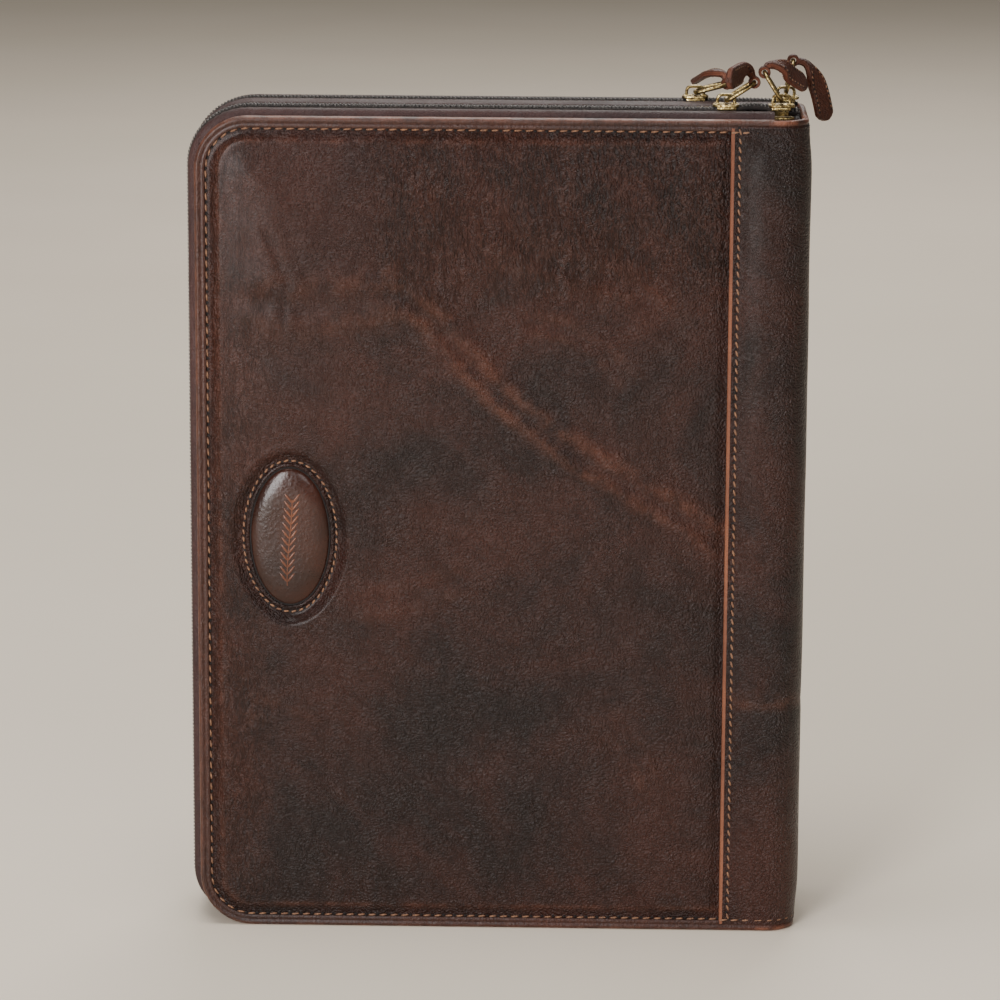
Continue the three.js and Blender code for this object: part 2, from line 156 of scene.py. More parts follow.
def own_coordinates(tree, stretch=(1, 1, 1), turn=(0, 0, 0)):
    where = put(tree, "TexCoord").outputs["Object"]
    return put(tree, "Mapping", {"Vector": where, "Scale": stretch, "Rotation": turn}).outputs[0]


def cloud(tree, where, scale, detail=2.0, roughness=0.5, distortion=0.0):
    values = {"Vector": where, "Scale": scale, "Detail": detail, "Roughness": roughness,
              "Distortion": distortion}
    return put(tree, "TexNoise", values).outputs[0]


def attribute(tree, name):
    return put(tree, "Attribute", attribute_name=name).outputs["Fac"]


def group(name, takes, gives, build):
    """A shared shader effect with named sockets."""
    tree = bpy.data.node_groups.new(name, "ShaderNodeTree")
    for label, kind, value in takes:
        socket = tree.interface.new_socket(name=label, in_out="INPUT", socket_type="NodeSocket" + kind)
        socket.default_value = value
    for label, kind in gives:
        tree.interface.new_socket(name=label, in_out="OUTPUT", socket_type="NodeSocket" + kind)
    takes_in, gives_out = tree.nodes.new("NodeGroupInput"), tree.nodes.new("NodeGroupOutput")
    made = build(tree, takes_in.outputs)
    for label, socket in made.items():
        tree.links.new(socket, gives_out.inputs[label])
    return tree


def use(tree, shared, **values):
    return put(tree, "Group", values, node_tree=shared).outputs


def build_leather(tree, given):
    """Pebbled grain, fine pores, long branching wrinkles and a mottled pull-up tone; the wrinkle lines and
    rubbed places are painted paler, partly wear and partly painted highlight, and specks of painted shade
    follow the pores.
    """
    where = own_coordinates(tree)
    lumps = put(tree, "TexNoise", {"Vector": where, "Scale": 90.0, "Detail": 3.0}).outputs["Color"]
    flow = put(tree, "VectorMath", {0: lumps, 1: (0.006, 0.006, 0.006), 2: where},
               operation="MULTIPLY_ADD").outputs[0]
    pebble = put(tree, "TexVoronoi", {"Vector": flow, "Scale": given["Pebbles"], "Smoothness": 0.6},
                 feature="SMOOTH_F1").outputs["Distance"]
    pores = cloud(tree, where, 2600.0, 3.0)
    long_and_slanted = {"Vector": flow, "Scale": (1.0, 1.0, 0.22), "Rotation": (0, 0.22, 0)}
    wrinkle_where = put(tree, "Mapping", long_and_slanted).outputs[0]
    folds = cloud(tree, wrinkle_where, 330.0, 4.0, 0.55, 0.6)
    crack = between(tree, from_half(tree, folds), 0.0, 0.045, 1.0, 0.0)
    patchy = between(tree, cloud(tree, where, 17.0, 3.0), 0.38, 0.62)
    crack = times(tree, crack, times(tree, patchy, given["Wrinkles"]))
    cells = put(tree, "TexVoronoi", {"Vector": wrinkle_where, "Scale": 760.0},
                feature="DISTANCE_TO_EDGE").outputs["Distance"]
    net_share = between(tree, given["Wrinkles"], 0.0, 1.1, 0.12, 1.0)
    net = times(tree, between(tree, cells, 0.0, 0.2, 1.0, 0.0), net_share)
    grain = plus(tree, times(tree, pebble, -0.8), times(tree, pores, 0.4))
    lines = minus(tree, times(tree, crack, 0.75), times(tree, net, 0.32))
    height = minus(tree, grain, lines)
    mottle = between(tree, cloud(tree, where, 17.0, 7.0, 0.66, 0.5), 0.34, 0.68)
    tone = mix(tree, mottle, given["Deep"], given["Warm"])
    # painted shade: fine specks of the darker colour follow the pore pattern, standing for shade in the grain
    tone = mix(tree, between(tree, pores, 0.44, 0.66, 0.0, 0.6), tone, given["Deep"])
    # the wrinkle lines and the net take the paler colour: partly crease wear, partly painted highlight on their
    # ridges
    tone = mix(tree, times(tree, plus(tree, crack, net), 0.12), tone, given["WornAndHighlight"])
    # the rubbed places take the paler colour too: partly wear, partly painted highlight
    rubbed_and_highlit = times(tree, given["WearAndHighlight"], between(tree, cloud(tree, where, 160.0, 4.0), 0.3, 0.65))
    tone = mix(tree, rubbed_and_highlit, tone, given["WornAndHighlight"])
    sheen = between(tree, cloud(tree, where, 60.0, 4.0), 0.3, 0.7, -0.06, 0.07)
    gloss = plus(tree, given["Gloss"], plus(tree, sheen, times(tree, pebble, 0.18)))
    return {"Colour": tone, "Roughness": gloss, "Height": height}


BLACK = (0, 0, 0, 1)
LEATHER = group("leather_surface",
                [("Deep", "Color", BLACK), ("Warm", "Color", BLACK), ("WornAndHighlight", "Color", BLACK),
                 ("Pebbles", "Float", 1050.0), ("Wrinkles", "Float", 1.0), ("WearAndHighlight", "Float", 0.0),
                 ("Gloss", "Float", 0.4)],
                [("Colour", "Color"), ("Roughness", "Float"), ("Height", "Float")], build_leather)


def build_weave(tree, given):
    """Warp and weft crossing over and under each other, with slubs."""
    where = own_coordinates(tree)
    parts = put(tree, "SeparateXYZ", {0: where}).outputs
    side = plus(tree, parts[0], parts[1])
    warp = calc(tree, "SINE", times(tree, side, given["Threads"]))
    weft = calc(tree, "SINE", times(tree, parts[2], given["Threads"]))
    cross = times(tree, warp, weft)
    slub = cloud(tree, where, 420.0, 4.0)
    height = plus(tree, times(tree, cross, 0.5), times(tree, slub, 0.5))
    tone = mix(tree, between(tree, slub, 0.3, 0.7), given["Deep"], given["Warm"])
    # painted highlight: the raised crossings of the weave are painted lighter
    return {"Colour": mix(tree, between(tree, cross, -1.0, 1.0, 0.0, 0.3), tone, given["Warm"]),
            "Height": height}


WEAVE = group("woven_cloth",
              [("Deep", "Color", BLACK), ("Warm", "Color", BLACK), ("Threads", "Float", 9000.0)],
              [("Colour", "Color"), ("Height", "Float")], build_weave)


def build_tarnish(tree, given):
    """Bright metal with brown patina in patches, and fine scratches."""
    where = own_coordinates(tree)
    patina = between(tree, cloud(tree, where, 900.0, 5.0, 0.6), 0.36, 0.66)
    drawn_out = put(tree, "Mapping", {"Vector": where, "Scale": (0.2, 1.0, 1.0)}).outputs[0]
    scratch = cloud(tree, drawn_out, 5200.0, 2.0)
    return {"Colour": mix(tree, patina, given["Bright"], given["Patina"]),
            "Roughness": plus(tree, between(tree, patina, 0.0, 1.0, 0.2, 0.42), times(tree, scratch, 0.12)),
            "Height": plus(tree, times(tree, patina, 0.5), scratch)}


TARNISH = group("metal_tarnish", [("Bright", "Color", (1, 1, 1, 1)), ("Patina", "Color", BLACK)],
                [("Colour", "Color"), ("Roughness", "Float"), ("Height", "Float")], build_tarnish)


def material(name, build, bump_depth=0.0002, **fixed):
    """build gives Colour, Roughness and Height sockets; fixed values are set on the surface shader itself."""
    made = bpy.data.materials.new(name)
    made.use_nodes = True
    tree = made.node_tree
    surface = tree.nodes["Principled BSDF"]
    parts = build(tree)
    for key, target in (("Colour", "Base Color"), ("Roughness", "Roughness"), ("Metal", "Metallic")):
        if key in parts:
            tree.links.new(parts[key], surface.inputs[target])
    if "Height" in parts:
        raised = put(tree, "Bump", {"Height": parts["Height"], "Strength": 1.0, "Distance": bump_depth})
        tree.links.new(raised.outputs[0], surface.inputs["Normal"])
    for key, value in fixed.items():
        surface.inputs[key.replace("_", " ")].default_value = value
    return made


# worn is the paler colour, used both for wear and for painted highlight; wear gives the mask where it goes
def leather(name, deep, warm, worn_and_highlight, pebbles=1050.0, wrinkles=1.0, gloss=0.4, wear=None, bump_depth=0.0003,
            **fixed):
    fixed.setdefault("Specular_IOR_Level", 0.24)

    def build(tree):
        values = dict(Deep=tint(*deep), Warm=tint(*warm), WornAndHighlight=tint(*worn_and_highlight), Pebbles=pebbles, Gloss=gloss)
        values["WearAndHighlight"] = wear(tree) if wear else 0.0
        values["Wrinkles"] = wrinkles(tree) if callable(wrinkles) else wrinkles
        return use(tree, LEATHER, **values)
    return material(name, build, bump_depth, **fixed)


def cloth(name, deep, warm, threads=9000.0, roughness=0.85, **fixed):
    def build(tree):
        made = use(tree, WEAVE, Deep=tint(*deep), Warm=tint(*warm), Threads=threads)
        return {"Colour": made["Colour"], "Height": made["Height"],
                "Roughness": between(tree, made["Height"], -0.5, 1.0, roughness + 0.08, roughness - 0.08)}
    return material(name, build, 0.00015, **fixed)


def grained(name, deep, warm, scale, detail, rough_low, rough_high, bump_depth, stretch=(1, 1, 1), **fixed):
    """A plain stuff with its own grain: paper, board, nylon, thread."""
    def build(tree):
        grain = cloud(tree, own_coordinates(tree, stretch), scale, detail, 0.6)
        return {"Colour": mix(tree, between(tree, grain, 0.32, 0.68), tint(*deep), tint(*warm)),
                "Roughness": between(tree, grain, 0.3, 0.7, rough_low, rough_high), "Height": grain}
    return material(name, build, bump_depth, **fixed)


# ---------------------------------------------------------------- finishes


# The crease mask: crease wear on the folds and on the spine's crease, with painted highlight on the folds'
# ridges and along the padding's rise.
def creased(tree):
    return attribute(tree, "crease")


# The bound edge's outer roll is painted paler: edge wear together with a painted highlight along the roll.
def outer_edge_wear_and_highlight(tree):
    return between(tree, attribute(tree, "round"), 0.30, 0.52)


def wrinkled(tree):
    return plus(tree, attribute(tree, "wrinkle"), 0.1)


hide = leather("cover_hide", (21, 11, 10), (56, 27, 20), (104, 62, 46), 1500.0, wrinkled, 0.26, creased,
               0.0008, Coat_Weight=0.12, Coat_Roughness=0.22, Specular_IOR_Level=0.27)
# the bound edge's outer roll takes the paler colour: edge wear and painted highlight
edge_hide = leather("bound_edge_hide", (38, 20, 16), (62, 33, 25), (122, 74, 54), 1500.0, 0.5, 0.34,
                    outer_edge_wear_and_highlight, Coat_Weight=0.25, Coat_Roughness=0.3)
patch_hide = leather("patch_hide", (34, 17, 12), (64, 31, 20), (100, 58, 38), 900.0, 0.0, 0.22,
                     bump_depth=0.0001, Coat_Weight=0.25, Coat_Roughness=0.12)
band_hide = leather("band_hide", (46, 32, 32), (68, 46, 44), (104, 72, 64), 1700.0, 0.4, 0.46)
pull_hide = leather("pull_hide", (52, 28, 21), (80, 43, 31), (128, 76, 54), 1500.0, 0.8, 0.4)
strap_edge = leather("strap_raw_edge", (74, 40, 29), (110, 64, 46), (150, 98, 70), 2600.0, 0.3, 0.5,
                     bump_depth=0.00015)
raw_edge = leather("raw_hide_edge", (98, 58, 42), (138, 88, 64), (178, 126, 96), 2600.0, 0.3, 0.55,
                   bump_depth=0.00015)
sprig_hide = leather("sprig_hide", (86, 48, 32), (122, 74, 50), (170, 118, 86), 2000.0, 0.3, 0.3,
                     bump_depth=0.0001, Coat_Weight=0.4, Coat_Roughness=0.15)
bible_hide = leather("bible_board_hide", (22, 20, 24), (34, 30, 34), (60, 54, 58), 1500.0, 0.3, 0.42)
thread = grained("linen_thread", (88, 58, 42), (146, 108, 80), 2600.0, 3.0, 0.5, 0.8, 0.0002, (1, 1, 0.4))
dark_thread = grained("dark_thread", (40, 28, 26), (70, 50, 44), 2600.0, 3.0, 0.5, 0.8, 0.0002)
# painted shade: near-black for the needle holes and for the patch's groove, where only shade is seen
painted_hole_shade = grained("needle_hole_painted_shade", (8, 5, 5), (18, 11, 10), 3000.0, 2.0, 0.8, 0.95, 0.0001)
# the coil's black nylon is painted a lighter grey, as painted glints on the loops
nylon = grained("coil_nylon_painted_glints", (36, 34, 35), (92, 87, 84), 1500.0, 3.0, 0.18, 0.34, 0.00005,
                Coat_Weight=0.6, Coat_Roughness=0.2)
tape = cloth("zip_tape_cloth", (20, 16, 15), (44, 35, 31), 11000.0)
lining_cloth = cloth("lining_cloth", (30, 22, 20), (52, 39, 34), 8000.0, Sheen_Weight=0.15)
greyboard = grained("greyboard", (96, 91, 82), (142, 136, 124), 700.0, 6.0, 0.8, 0.95, 0.0001)
cotton = cloth("striped_cotton", (150, 40, 40), (226, 214, 180), 5200.0)
satin = cloth("ribbon_satin", (92, 12, 22), (140, 26, 38), 14000.0, 0.42, Sheen_Weight=0.3)


def build_brass(tree):
    return use(tree, TARNISH, Bright=tint(188, 168, 116), Patina=tint(84, 64, 36))


brass = material("antique_brass", build_brass, 0.00004, Metallic=1.0)


def build_gilt(tree):
    """The edges of the leaves: fine lines across a gilt block."""
    parts = put(tree, "SeparateXYZ", {0: own_coordinates(tree)}).outputs
    across = {"W": times(tree, parts[1], 14000.0), "Scale": 1.0, "Detail": 3.0}
    lines = put(tree, "TexNoise", across, noise_dimensions="1D").outputs[0]
    wear = between(tree, cloud(tree, own_coordinates(tree), 120.0, 5.0), 0.45, 0.75)
    tone = mix(tree, between(tree, lines, 0.35, 0.65), tint(150, 112, 52), tint(224, 190, 112))
    return {"Colour": mix(tree, wear, tone, tint(214, 200, 168)),
            "Metal": between(tree, wear, 0.2, 0.9, 0.8, 0.1),
            "Roughness": between(tree, lines, 0.3, 0.7, 0.3, 0.5), "Height": lines}


def build_print(tree):
    """A printed leaf: two columns of short grey marks that stand for lines of type."""
    lines_per_metre, marks_per_metre, margin = 1 / (3.1 * MM), 640.0, 26 * MM
    column_middle, column_half, ink_height = 0.225, 0.19, 0.2
    parts = put(tree, "SeparateXYZ", {0: own_coordinates(tree)}).outputs
    line = times(tree, parts[2], lines_per_metre)
    row = calc(tree, "FRACT", line)
    inked = calc(tree, "LESS_THAN", from_half(tree, row), ink_height)
    own_pattern = times(tree, calc(tree, "FLOOR", line), 7.3)  # each line's marks fall elsewhere
    along = plus(tree, times(tree, parts[0], marks_per_metre), own_pattern)
    word_line = {"W": along, "Scale": 1.0, "Detail": 2.0}
    words = put(tree, "TexNoise", word_line, noise_dimensions="1D").outputs[0]
    left, right = (v.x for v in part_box("front_page_block"))
    share = put(tree, "MapRange", {"Value": parts[0], "From Min": left, "From Max": right}).outputs[0]
    off_middle = from_half(tree, share)
    column = calc(tree, "ABSOLUTE", minus(tree, off_middle, column_middle))
    page_height = {"Value": parts[2], "From Min": margin, "From Max": top - margin}
    high = put(tree, "MapRange", page_height).outputs[0]
    in_column = calc(tree, "LESS_THAN", column, column_half)
    in_height = calc(tree, "LESS_THAN", from_half(tree, high), 0.499)
    page = times(tree, in_column, in_height)
    ink = times(tree, times(tree, inked, page), calc(tree, "GREATER_THAN", words, 0.42))
    fibre = cloud(tree, own_coordinates(tree), 900.0, 4.0)
    sheet = mix(tree, fibre, tint(228, 220, 198), tint(244, 238, 222))
    return {"Colour": mix(tree, times(tree, ink, 0.6), sheet, tint(60, 56, 54)),
            "Roughness": between(tree, fibre, 0.3, 0.7, 0.75, 0.9), "Height": fibre}


gilt = material("gilt_leaf_edges", build_gilt, 0.00008)
printed = material("printed_leaf", build_print, 0.00003)

# ---------------------------------------------------------------- making pieces


def new_mesh():
    bm = bmesh.new()
    for name in ("run", "round", "crease", "wrinkle"):
        bm.verts.layers.float.new(name)
    return bm


def turn_faces(bm, towards):
    """Makes the faces agree, and turns them over if most of them look the other way."""
    bmesh.ops.recalc_face_normals(bm, faces=bm.faces)
    if towards is not None and sum(f.normal.dot(towards) * f.calc_area() for f in bm.faces) < 0:
        bmesh.ops.reverse_faces(bm, faces=bm.faces)


def add_object(name, data):
    made = bpy.data.objects.new(name, data)
    bpy.context.scene.collection.objects.link(made)
    return made


def finish_piece(name, bm, looks, body=None, stands_for=(), faces_towards=None, sharp=50):
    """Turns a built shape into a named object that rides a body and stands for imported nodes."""
    turn_faces(bm, faces_towards)
    for f in bm.faces:
        f.smooth = True
    mesh = bpy.data.meshes.new(name)
    bm.to_mesh(mesh)
    bm.free()
    mesh.set_sharp_from_angle(angle=math.radians(sharp))
    made = add_object(name, mesh)
    for look in looks if isinstance(looks, (list, tuple)) else [looks]:
        mesh.materials.append(look)
    if body:
        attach(made, body)
    if stands_for:
        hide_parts(*stands_for)
    return made


def in_mm(*points):
    return [(a * MM, b * MM) for a, b in points]


def round_section(radius, count):
    turns = [2 * math.pi * i / count for i in range(count)]
    return [(radius * math.cos(t), radius * math.sin(t)) for t in turns]


def points_of(geometry):
    return [g for g in geometry if isinstance(g, bmesh.types.BMVert)]


def edges_of(geometry):
    return [g for g in geometry if isinstance(g, bmesh.types.BMEdge)]


def soften(bm, edges, width, segments=2):
    bmesh.ops.bevel(bm, geom=edges, offset=width, segments=segments, affect="EDGES", profile=0.5,
                    material=-1)


def is_level(edge):
    return abs(edge.verts[0].co.z - edge.verts[1].co.z) < 1e-7


def soft_cube(bm, matrix, width, segments=2):
    made = bmesh.ops.create_cube(bm, size=2.0, matrix=matrix)["verts"]
    soften(bm, list({e for v in made for e in v.link_edges}), width, segments)


def soft_power(v, power=0.56):
    """Turns a sine or cosine into one that makes a rounded square."""
    return math.copysign(abs(v) ** power, v)


def thicken(piece, thickness, offset=0.0):
    shell = piece.modifiers.new("thickness", "SOLIDIFY")
    shell.thickness, shell.offset = thickness, offset


def block_of(node):
    """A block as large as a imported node's box, to be shaped further."""
    low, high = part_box(node)
    bm = new_mesh()
    bmesh.ops.create_cube(bm, size=1.0)
    bmesh.ops.scale(bm, vec=high - low, verts=bm.verts)
    bmesh.ops.translate(bm, vec=(high + low) / 2, verts=bm.verts)
    return bm


def station(place, out, inward, wide=1.0, thick=1.0):
    """A place on a route, with the directions that a section's two numbers run in."""
    along = out.cross(inward)
    m = Matrix((out * wide, inward * thick, along)).transposed().to_4x4()
    m.translation = place
    return m


def sweep(bm, section, route, loop=False, look=0, cap=True):
    """Draws a closed section at the route's first station and extrudes it along the route."""
    run, around = bm.verts.layers.float["run"], bm.verts.layers.float["round"]
    first = [bm.verts.new(route[0] @ Vector((a, b, 0))) for a, b in section]
    for i, v in enumerate(first):
        v[around] = i / len(first)
    edges = [bm.edges.new((first[i], first[(i + 1) % len(first)])) for i in range(len(first))]
    ends, gone, seen = [edges], 0.0, set(bm.faces)
    for before, after in zip(route, route[1:]):
        gone += (after.translation - before.translation).length
        made = bmesh.ops.extrude_edge_only(bm, edges=edges)["geom"]
        verts, edges = points_of(made), edges_of(made)
        bmesh.ops.transform(bm, matrix=after @ before.inverted(), verts=verts)
        for v in verts:
            v[run] = gone
    if loop:
        bmesh.ops.remove_doubles(bm, verts=list({v for e in ends[0] + edges for v in e.verts}), dist=1e-6)
    elif cap:
        for open_edges in (ends[0], edges):
            bmesh.ops.edgeloop_fill(bm, edges=open_edges)
    for f in bm.faces:
        if f not in seen:
            f.material_index = look
    return bm


def rim(crown, side, end=None, step=3 * MM, lift=None, inset=0.0):
    """Stations along the top, round the zipped edge and along the bottom of a strip; crown is how far it
    stands out there, in millimetres."""
    end = fold - 0.3 * MM if end is None else end
    left, up, down = (c * MM - inset for c in crown)
    cx, high, low = fore + corner, top - corner, corner
    a, b, c = corner + left, corner + up, corner + down
    y = side[0]
    places = []
    count = math.ceil((end - cx) / step)
    for i in range(count):
        x = end + (cx - end) * i / count
        places.append((Vector((x, y, high + b + (lift(x) if lift else 0.0))), Z.copy()))
    for i in range(14):
        t = math.radians(90 * i / 14)
        places.append((Vector((cx - a * math.sin(t), y, high + b * math.cos(t))),
                       Vector((-b * math.sin(t), 0, a * math.cos(t))).normalized()))
    count = math.ceil((high - low) / step)
    for i in range(count):
        places.append((Vector((cx - a, y, high + (low - high) * i / count)), -X))
    for i in range(14):
        t = math.radians(90 * i / 14)
        places.append((Vector((cx - a * math.cos(t), y, low - c * math.sin(t))),
                       Vector((-c * math.cos(t), 0, -a * math.sin(t))).normalized()))
    count = math.ceil((end - cx) / step)
    for i in range(count + 1):
        places.append((Vector((cx + (end - cx) * i / count, y, low - c)), -Z))
    return [station(p, n, side[1]) for p, n in places]


def line_on(route, out, deep):
    """The line that keeps one place on the section all along a route."""
    return [(m @ Vector((out, deep, 0)), m.to_3x3() @ Vector((0, -1, 0))) for m in route]


def top_line(route, out, across):
    """The same for a strip whose outside is up."""
    return [(m @ Vector((out, across, 0)), m.to_3x3() @ Vector((1, 0, 0))) for m in route]


def spaced(line, pitch, start=0.0, finish=0.0):
    """Places every pitch along a line: where, which way the line runs, which way is up."""
    total = sum((b[0] - a[0]).length for a, b in zip(line, line[1:])) - finish
    found, gone, target = [], 0.0, start + pitch / 2
    for (p, up), (q, _) in zip(line, line[1:]):
        long = (q - p).length
        while long > 0 and gone + long >= target and target <= total:
            found.append((p.lerp(q, (target - gone) / long), (q - p).normalized(), up))
            target += pitch
        gone += long
    return found


def small_mesh(*shapes):
    """A small shape to be repeated: each entry is a kind, its matrix and its look."""
    bm = new_mesh()
    for kind, matrix, look in shapes:
        before = set(bm.faces)
        if kind == "bead":
            bmesh.ops.create_uvsphere(bm, u_segments=8, v_segments=4, radius=1.0, matrix=matrix)
        elif kind == "loop":
            soft_cube(bm, matrix, 0.22 * MM, 1)
        for f in bm.faces:
            if f not in before:
                f.material_index = look
    mesh = bpy.data.meshes.new("repeated_shape")
    bm.to_mesh(mesh)
    bm.free()
    return mesh


def repeat(bm, mesh, places, slant=0.0, shift=(0, 0, 0)):
    """Puts a copy of a small shape at each place."""
    for where, along, up in places:
        side = up.cross(along).normalized()
        level = along.cross(side)
        turned = Matrix((along, side, level)).transposed().to_4x4()
        turned.translation = where
        copy = mesh.copy()
        copy.transform(turned @ Matrix.Rotation(slant, 4, "Z") @ Matrix.Translation(shift))
        bm.from_mesh(copy)
        bpy.data.meshes.remove(copy)
    return bm


def scaled(x, y, z, at=(0, 0, 0)):
    return Matrix.Translation(at) @ Matrix.Diagonal((x, y, z, 1))


def stitch_shape(long, thick=0.36 * MM, pitch=None):
    pitch = pitch or long * 1.35
    # a flat dark disc between stitches is the painted shade in the needle hole
    needle_hole_painted_shade = scaled(0.42 * MM, 0.42 * MM, 0.12 * MM, (pitch / 2, 0, -0.05 * MM))
    return small_mesh(("bead", scaled(long / 2, thick, thick * 0.85), 0), ("bead", needle_hole_painted_shade, 1))


def stitches(name, places, long, pitch, body=None, slant=0.12, look=None, thick=0.36 * MM):
    bm = repeat(new_mesh(), stitch_shape(long, thick, pitch), places, slant)
    return finish_piece(name, bm, [look or thread, painted_hole_shade], body, sharp=80)


def grid(size_x, size_z, spacing=1.0 * MM):
    """A flat fine mesh; its points are then placed one by one, by two shares from 0 to 1."""
    bm = new_mesh()
    nx, nz = max(2, round(size_x / spacing)), max(2, round(size_z / spacing))
    bmesh.ops.create_grid(bm, x_segments=nx, y_segments=nz, size=0.5)
    return bm


def rounded(x, z, inset):
    """Moves a point of the square outline onto the outline with round corners at the zipped edge."""
    r, cx = corner - inset, fore + corner
    if x < cx:
        for centre, sign in ((top - corner, 1), (corner, -1)):
            b = (z - centre) * sign / r
            if b > 0:
                a = (cx - x) / r
                return (cx - r * a * math.sqrt(max(1 - b * b / 2, 0)),
                        centre + sign * r * b * math.sqrt(max(1 - a * a / 2, 0)))
    return x, z


def from_edge(x, z):
    """Distance inwards from the cover's outline; the spine side doesn't count."""
    cx = fore + corner
    if x < cx and z > top - corner:
        return corner - math.hypot(cx - x, z - top + corner)
    if x < cx and z < corner:
        return corner - math.hypot(cx - x, corner - z)
    return min(x - fore, z, top - z)


def to_line(u, v, points):
    """Distance from a point to a drawn line, in millimetres, and how far along it that is."""
    best, share, count = 1e9, 0.0, len(points) - 1
    for i, ((ax, az), (bx, bz)) in enumerate(zip(points, points[1:])):
        dx, dz = bx - ax, bz - az
        t = min(max(((u - ax) * dx + (v - az) * dz) / (dx * dx + dz * dz), 0.0), 1.0)
        d = math.hypot(u - ax - dx * t, v - az - dz * t)
        if d < best:
            best, share = d, (i + t) / count
    return best, share


# ---------------------------------------------------------------- covers

# folds in the front leather: millimetres from the zipped edge and above the bottom, then width and depth
front_folds = [
    ([(50, 212), (66, 210), (76, 203), (85, 192), (99, 177), (115, 164), (137, 151), (168, 132), (196, 115)],
     2.8, 0.6),
    ([(12, 210), (34, 206), (58, 209), (72, 214)], 5.0, 0.3),
    ([(102, 203), (118, 200), (130, 193), (143, 180)], 2.2, 0.22),
    ([(46, 108), (70, 112), (91, 121)], 3.0, 0.16),
    ([(128, 76), (140, 62), (151, 45)], 2.6, 0.18),
    ([(15, 76), (28, 72), (42, 66)], 2.4, 0.18),
    ([(90, 236), (112, 222), (140, 214), (162, 190)], 3.4, 0.14),
    ([(20, 238), (30, 214), (26, 190)], 2.0, 0.12),
]
back_folds = [
    ([(20, 60), (60, 74), (104, 70), (150, 96)], 3.0, 0.35),
    ([(60, 200), (96, 190), (140, 206)], 2.6, 0.2),
    ([(120, 40), (146, 30), (164, 34)], 2.6, 0.2),
]


def patch_distance(x, z):
    """Roughly how far a point lies outside the oval window."""
    dx, dz = (x - patch_x) / (patch_w + 0.3 * MM), (z - patch_z) / (patch_h + 0.3 * MM)
    s = math.hypot(dx, dz)
    if s < 1e-6:
        return -patch_w
    reach = math.hypot((x - patch_x) / s, (z - patch_z) / s)
    return (s - 1) * reach


def padded_panel(end, folds, window):
    """A cover's padded leather: flat along its stitched edge, then rising over the foam."""
    inset = 2.6 * MM
    left, right, low, high = fore + inset, fold - 0.5 * MM, inset, top - inset
    bm = grid(right - left, high - low)
    crease, wrinkle = bm.verts.layers.float["crease"], bm.verts.layers.float["wrinkle"]
    sewn_depth, sewn_width, step, step_width = 1.12, 5.2, 1.02, 2.3  # millimetres, as are the numbers below
    crown_height, crown_reach, depth_under_yoke = 1.7, 13, 1.3
    for v in bm.verts:
        x, z = rounded(left + (v.co.x + 0.5) * (right - left), low + (v.co.y + 0.5) * (high - low), inset)
        d = from_edge(x, z) / MM
        depth = sewn_depth - step * smooth((d - sewn_width) / step_width)
        depth += 0.16 * bump(d - 3.7, 0.7) - 0.12 * bump(d - 8.0, 1.6)
        crown = 1 - math.exp(-min(max(0.0, d - 7), max(0.0, (yoke_x - x) / MM - 1) * 1.3) / crown_reach)
        uneven = 0.22 * rough(x, 3, z, 30 * MM) + 0.1 * rough(x, 6, z, 11 * MM)
        depth -= (crown_height + uneven) * crown
        worn_and_highlight = 0.0
        for points, width, deep in folds:
            away, share = to_line((x - fore) / MM, z / MM, points)
            if away < width * 4:
                fade = smooth(share * 6) * smooth((1 - share) * 6) * (0.75 + 0.4 * rough(x, 9, z, 12 * MM))
                away += 0.9 * rough(x, 5, z, 7 * MM)
                valley, ridge = 0.5 * bump(away, width * 0.7), 0.9 * bump(away - width * 1.3, width * 1.1)
                depth += deep * fade * (valley - ridge)
                # each fold's raised ridge gets a paler mark: partly crease wear, partly painted highlight
                worn_and_highlight = max(worn_and_highlight, fade * bump(away - width * 1.2, width * 0.9) * deep * 0.75)
        if window:
            e = patch_distance(x, z) / MM
            rise = smooth((e - 3.2) / 3.0)
            depth = 1.0 + (depth - 1.0) * rise + 0.12 * bump(e - 2.5, 0.6) - 0.1 * bump(e - 6.4, 1.4)
        under_yoke = smooth((x - yoke_x) / MM / 3.2 + 1.15)
        depth += (depth_under_yoke - depth) * under_yoke
        # the paler band 7.4 mm in, where the padding rises, is a painted highlight
        v[crease] = min(1.0, worn_and_highlight + 0.3 * bump(d - 7.4, 0.9))
        near_top = smooth((z / MM - 196) / 30) * smooth(((x - fore) / MM - 45) / 25)
        near_zip = smooth((30 - (x - fore) / MM) / 16)
        v[wrinkle] = 1.1 * worn_and_highlight + 0.9 * near_top + 0.6 * near_zip
        v.co = (x, face[end] + inwards[end].y * depth * MM, z)
    leather_piece = finish_piece(f"{end}_padded_leather", bm, hide, f"{end}_cover",
                                 (f"{end}_cover_leather", f"{end}_cover_foam"), -inwards[end])
    thicken(leather_piece, 1.0 * MM, -1.0)
    return leather_piece


padded_panel("front", front_folds, True)
padded_panel("back", back_folds, False)

# the bound edge: a roll round the outside, a shallow valley, then the flat that is sewn down
binding_section = in_mm(
    (-3.4, 0.95), (-3.45, 0.55), (-3.2, 0.3), (-2.7, 0.22), (-2.2, 0.3), (-1.95, 0.42), (-1.7, 0.3),
    (-1.2, 0.08), (-0.7, 0.1), (-0.25, 0.45), (-0.05, 1.1), (0.0, 2.2), (-0.02, 3.8), (-0.25, 4.9),
    (-0.8, 5.6), (-1.8, 5.82), (-3.0, 5.82), (-3.1, 5.5), (-2.3, 5.3), (-2.25, 3.0), (-2.3, 1.1),
    (-2.8, 1.05))
edge_pitch, yoke_pitch, patch_pitch, band_pitch = 3.6 * MM, 2.84 * MM, 2.45 * MM, 2.8 * MM
spine_end_pitch = 3.2 * MM


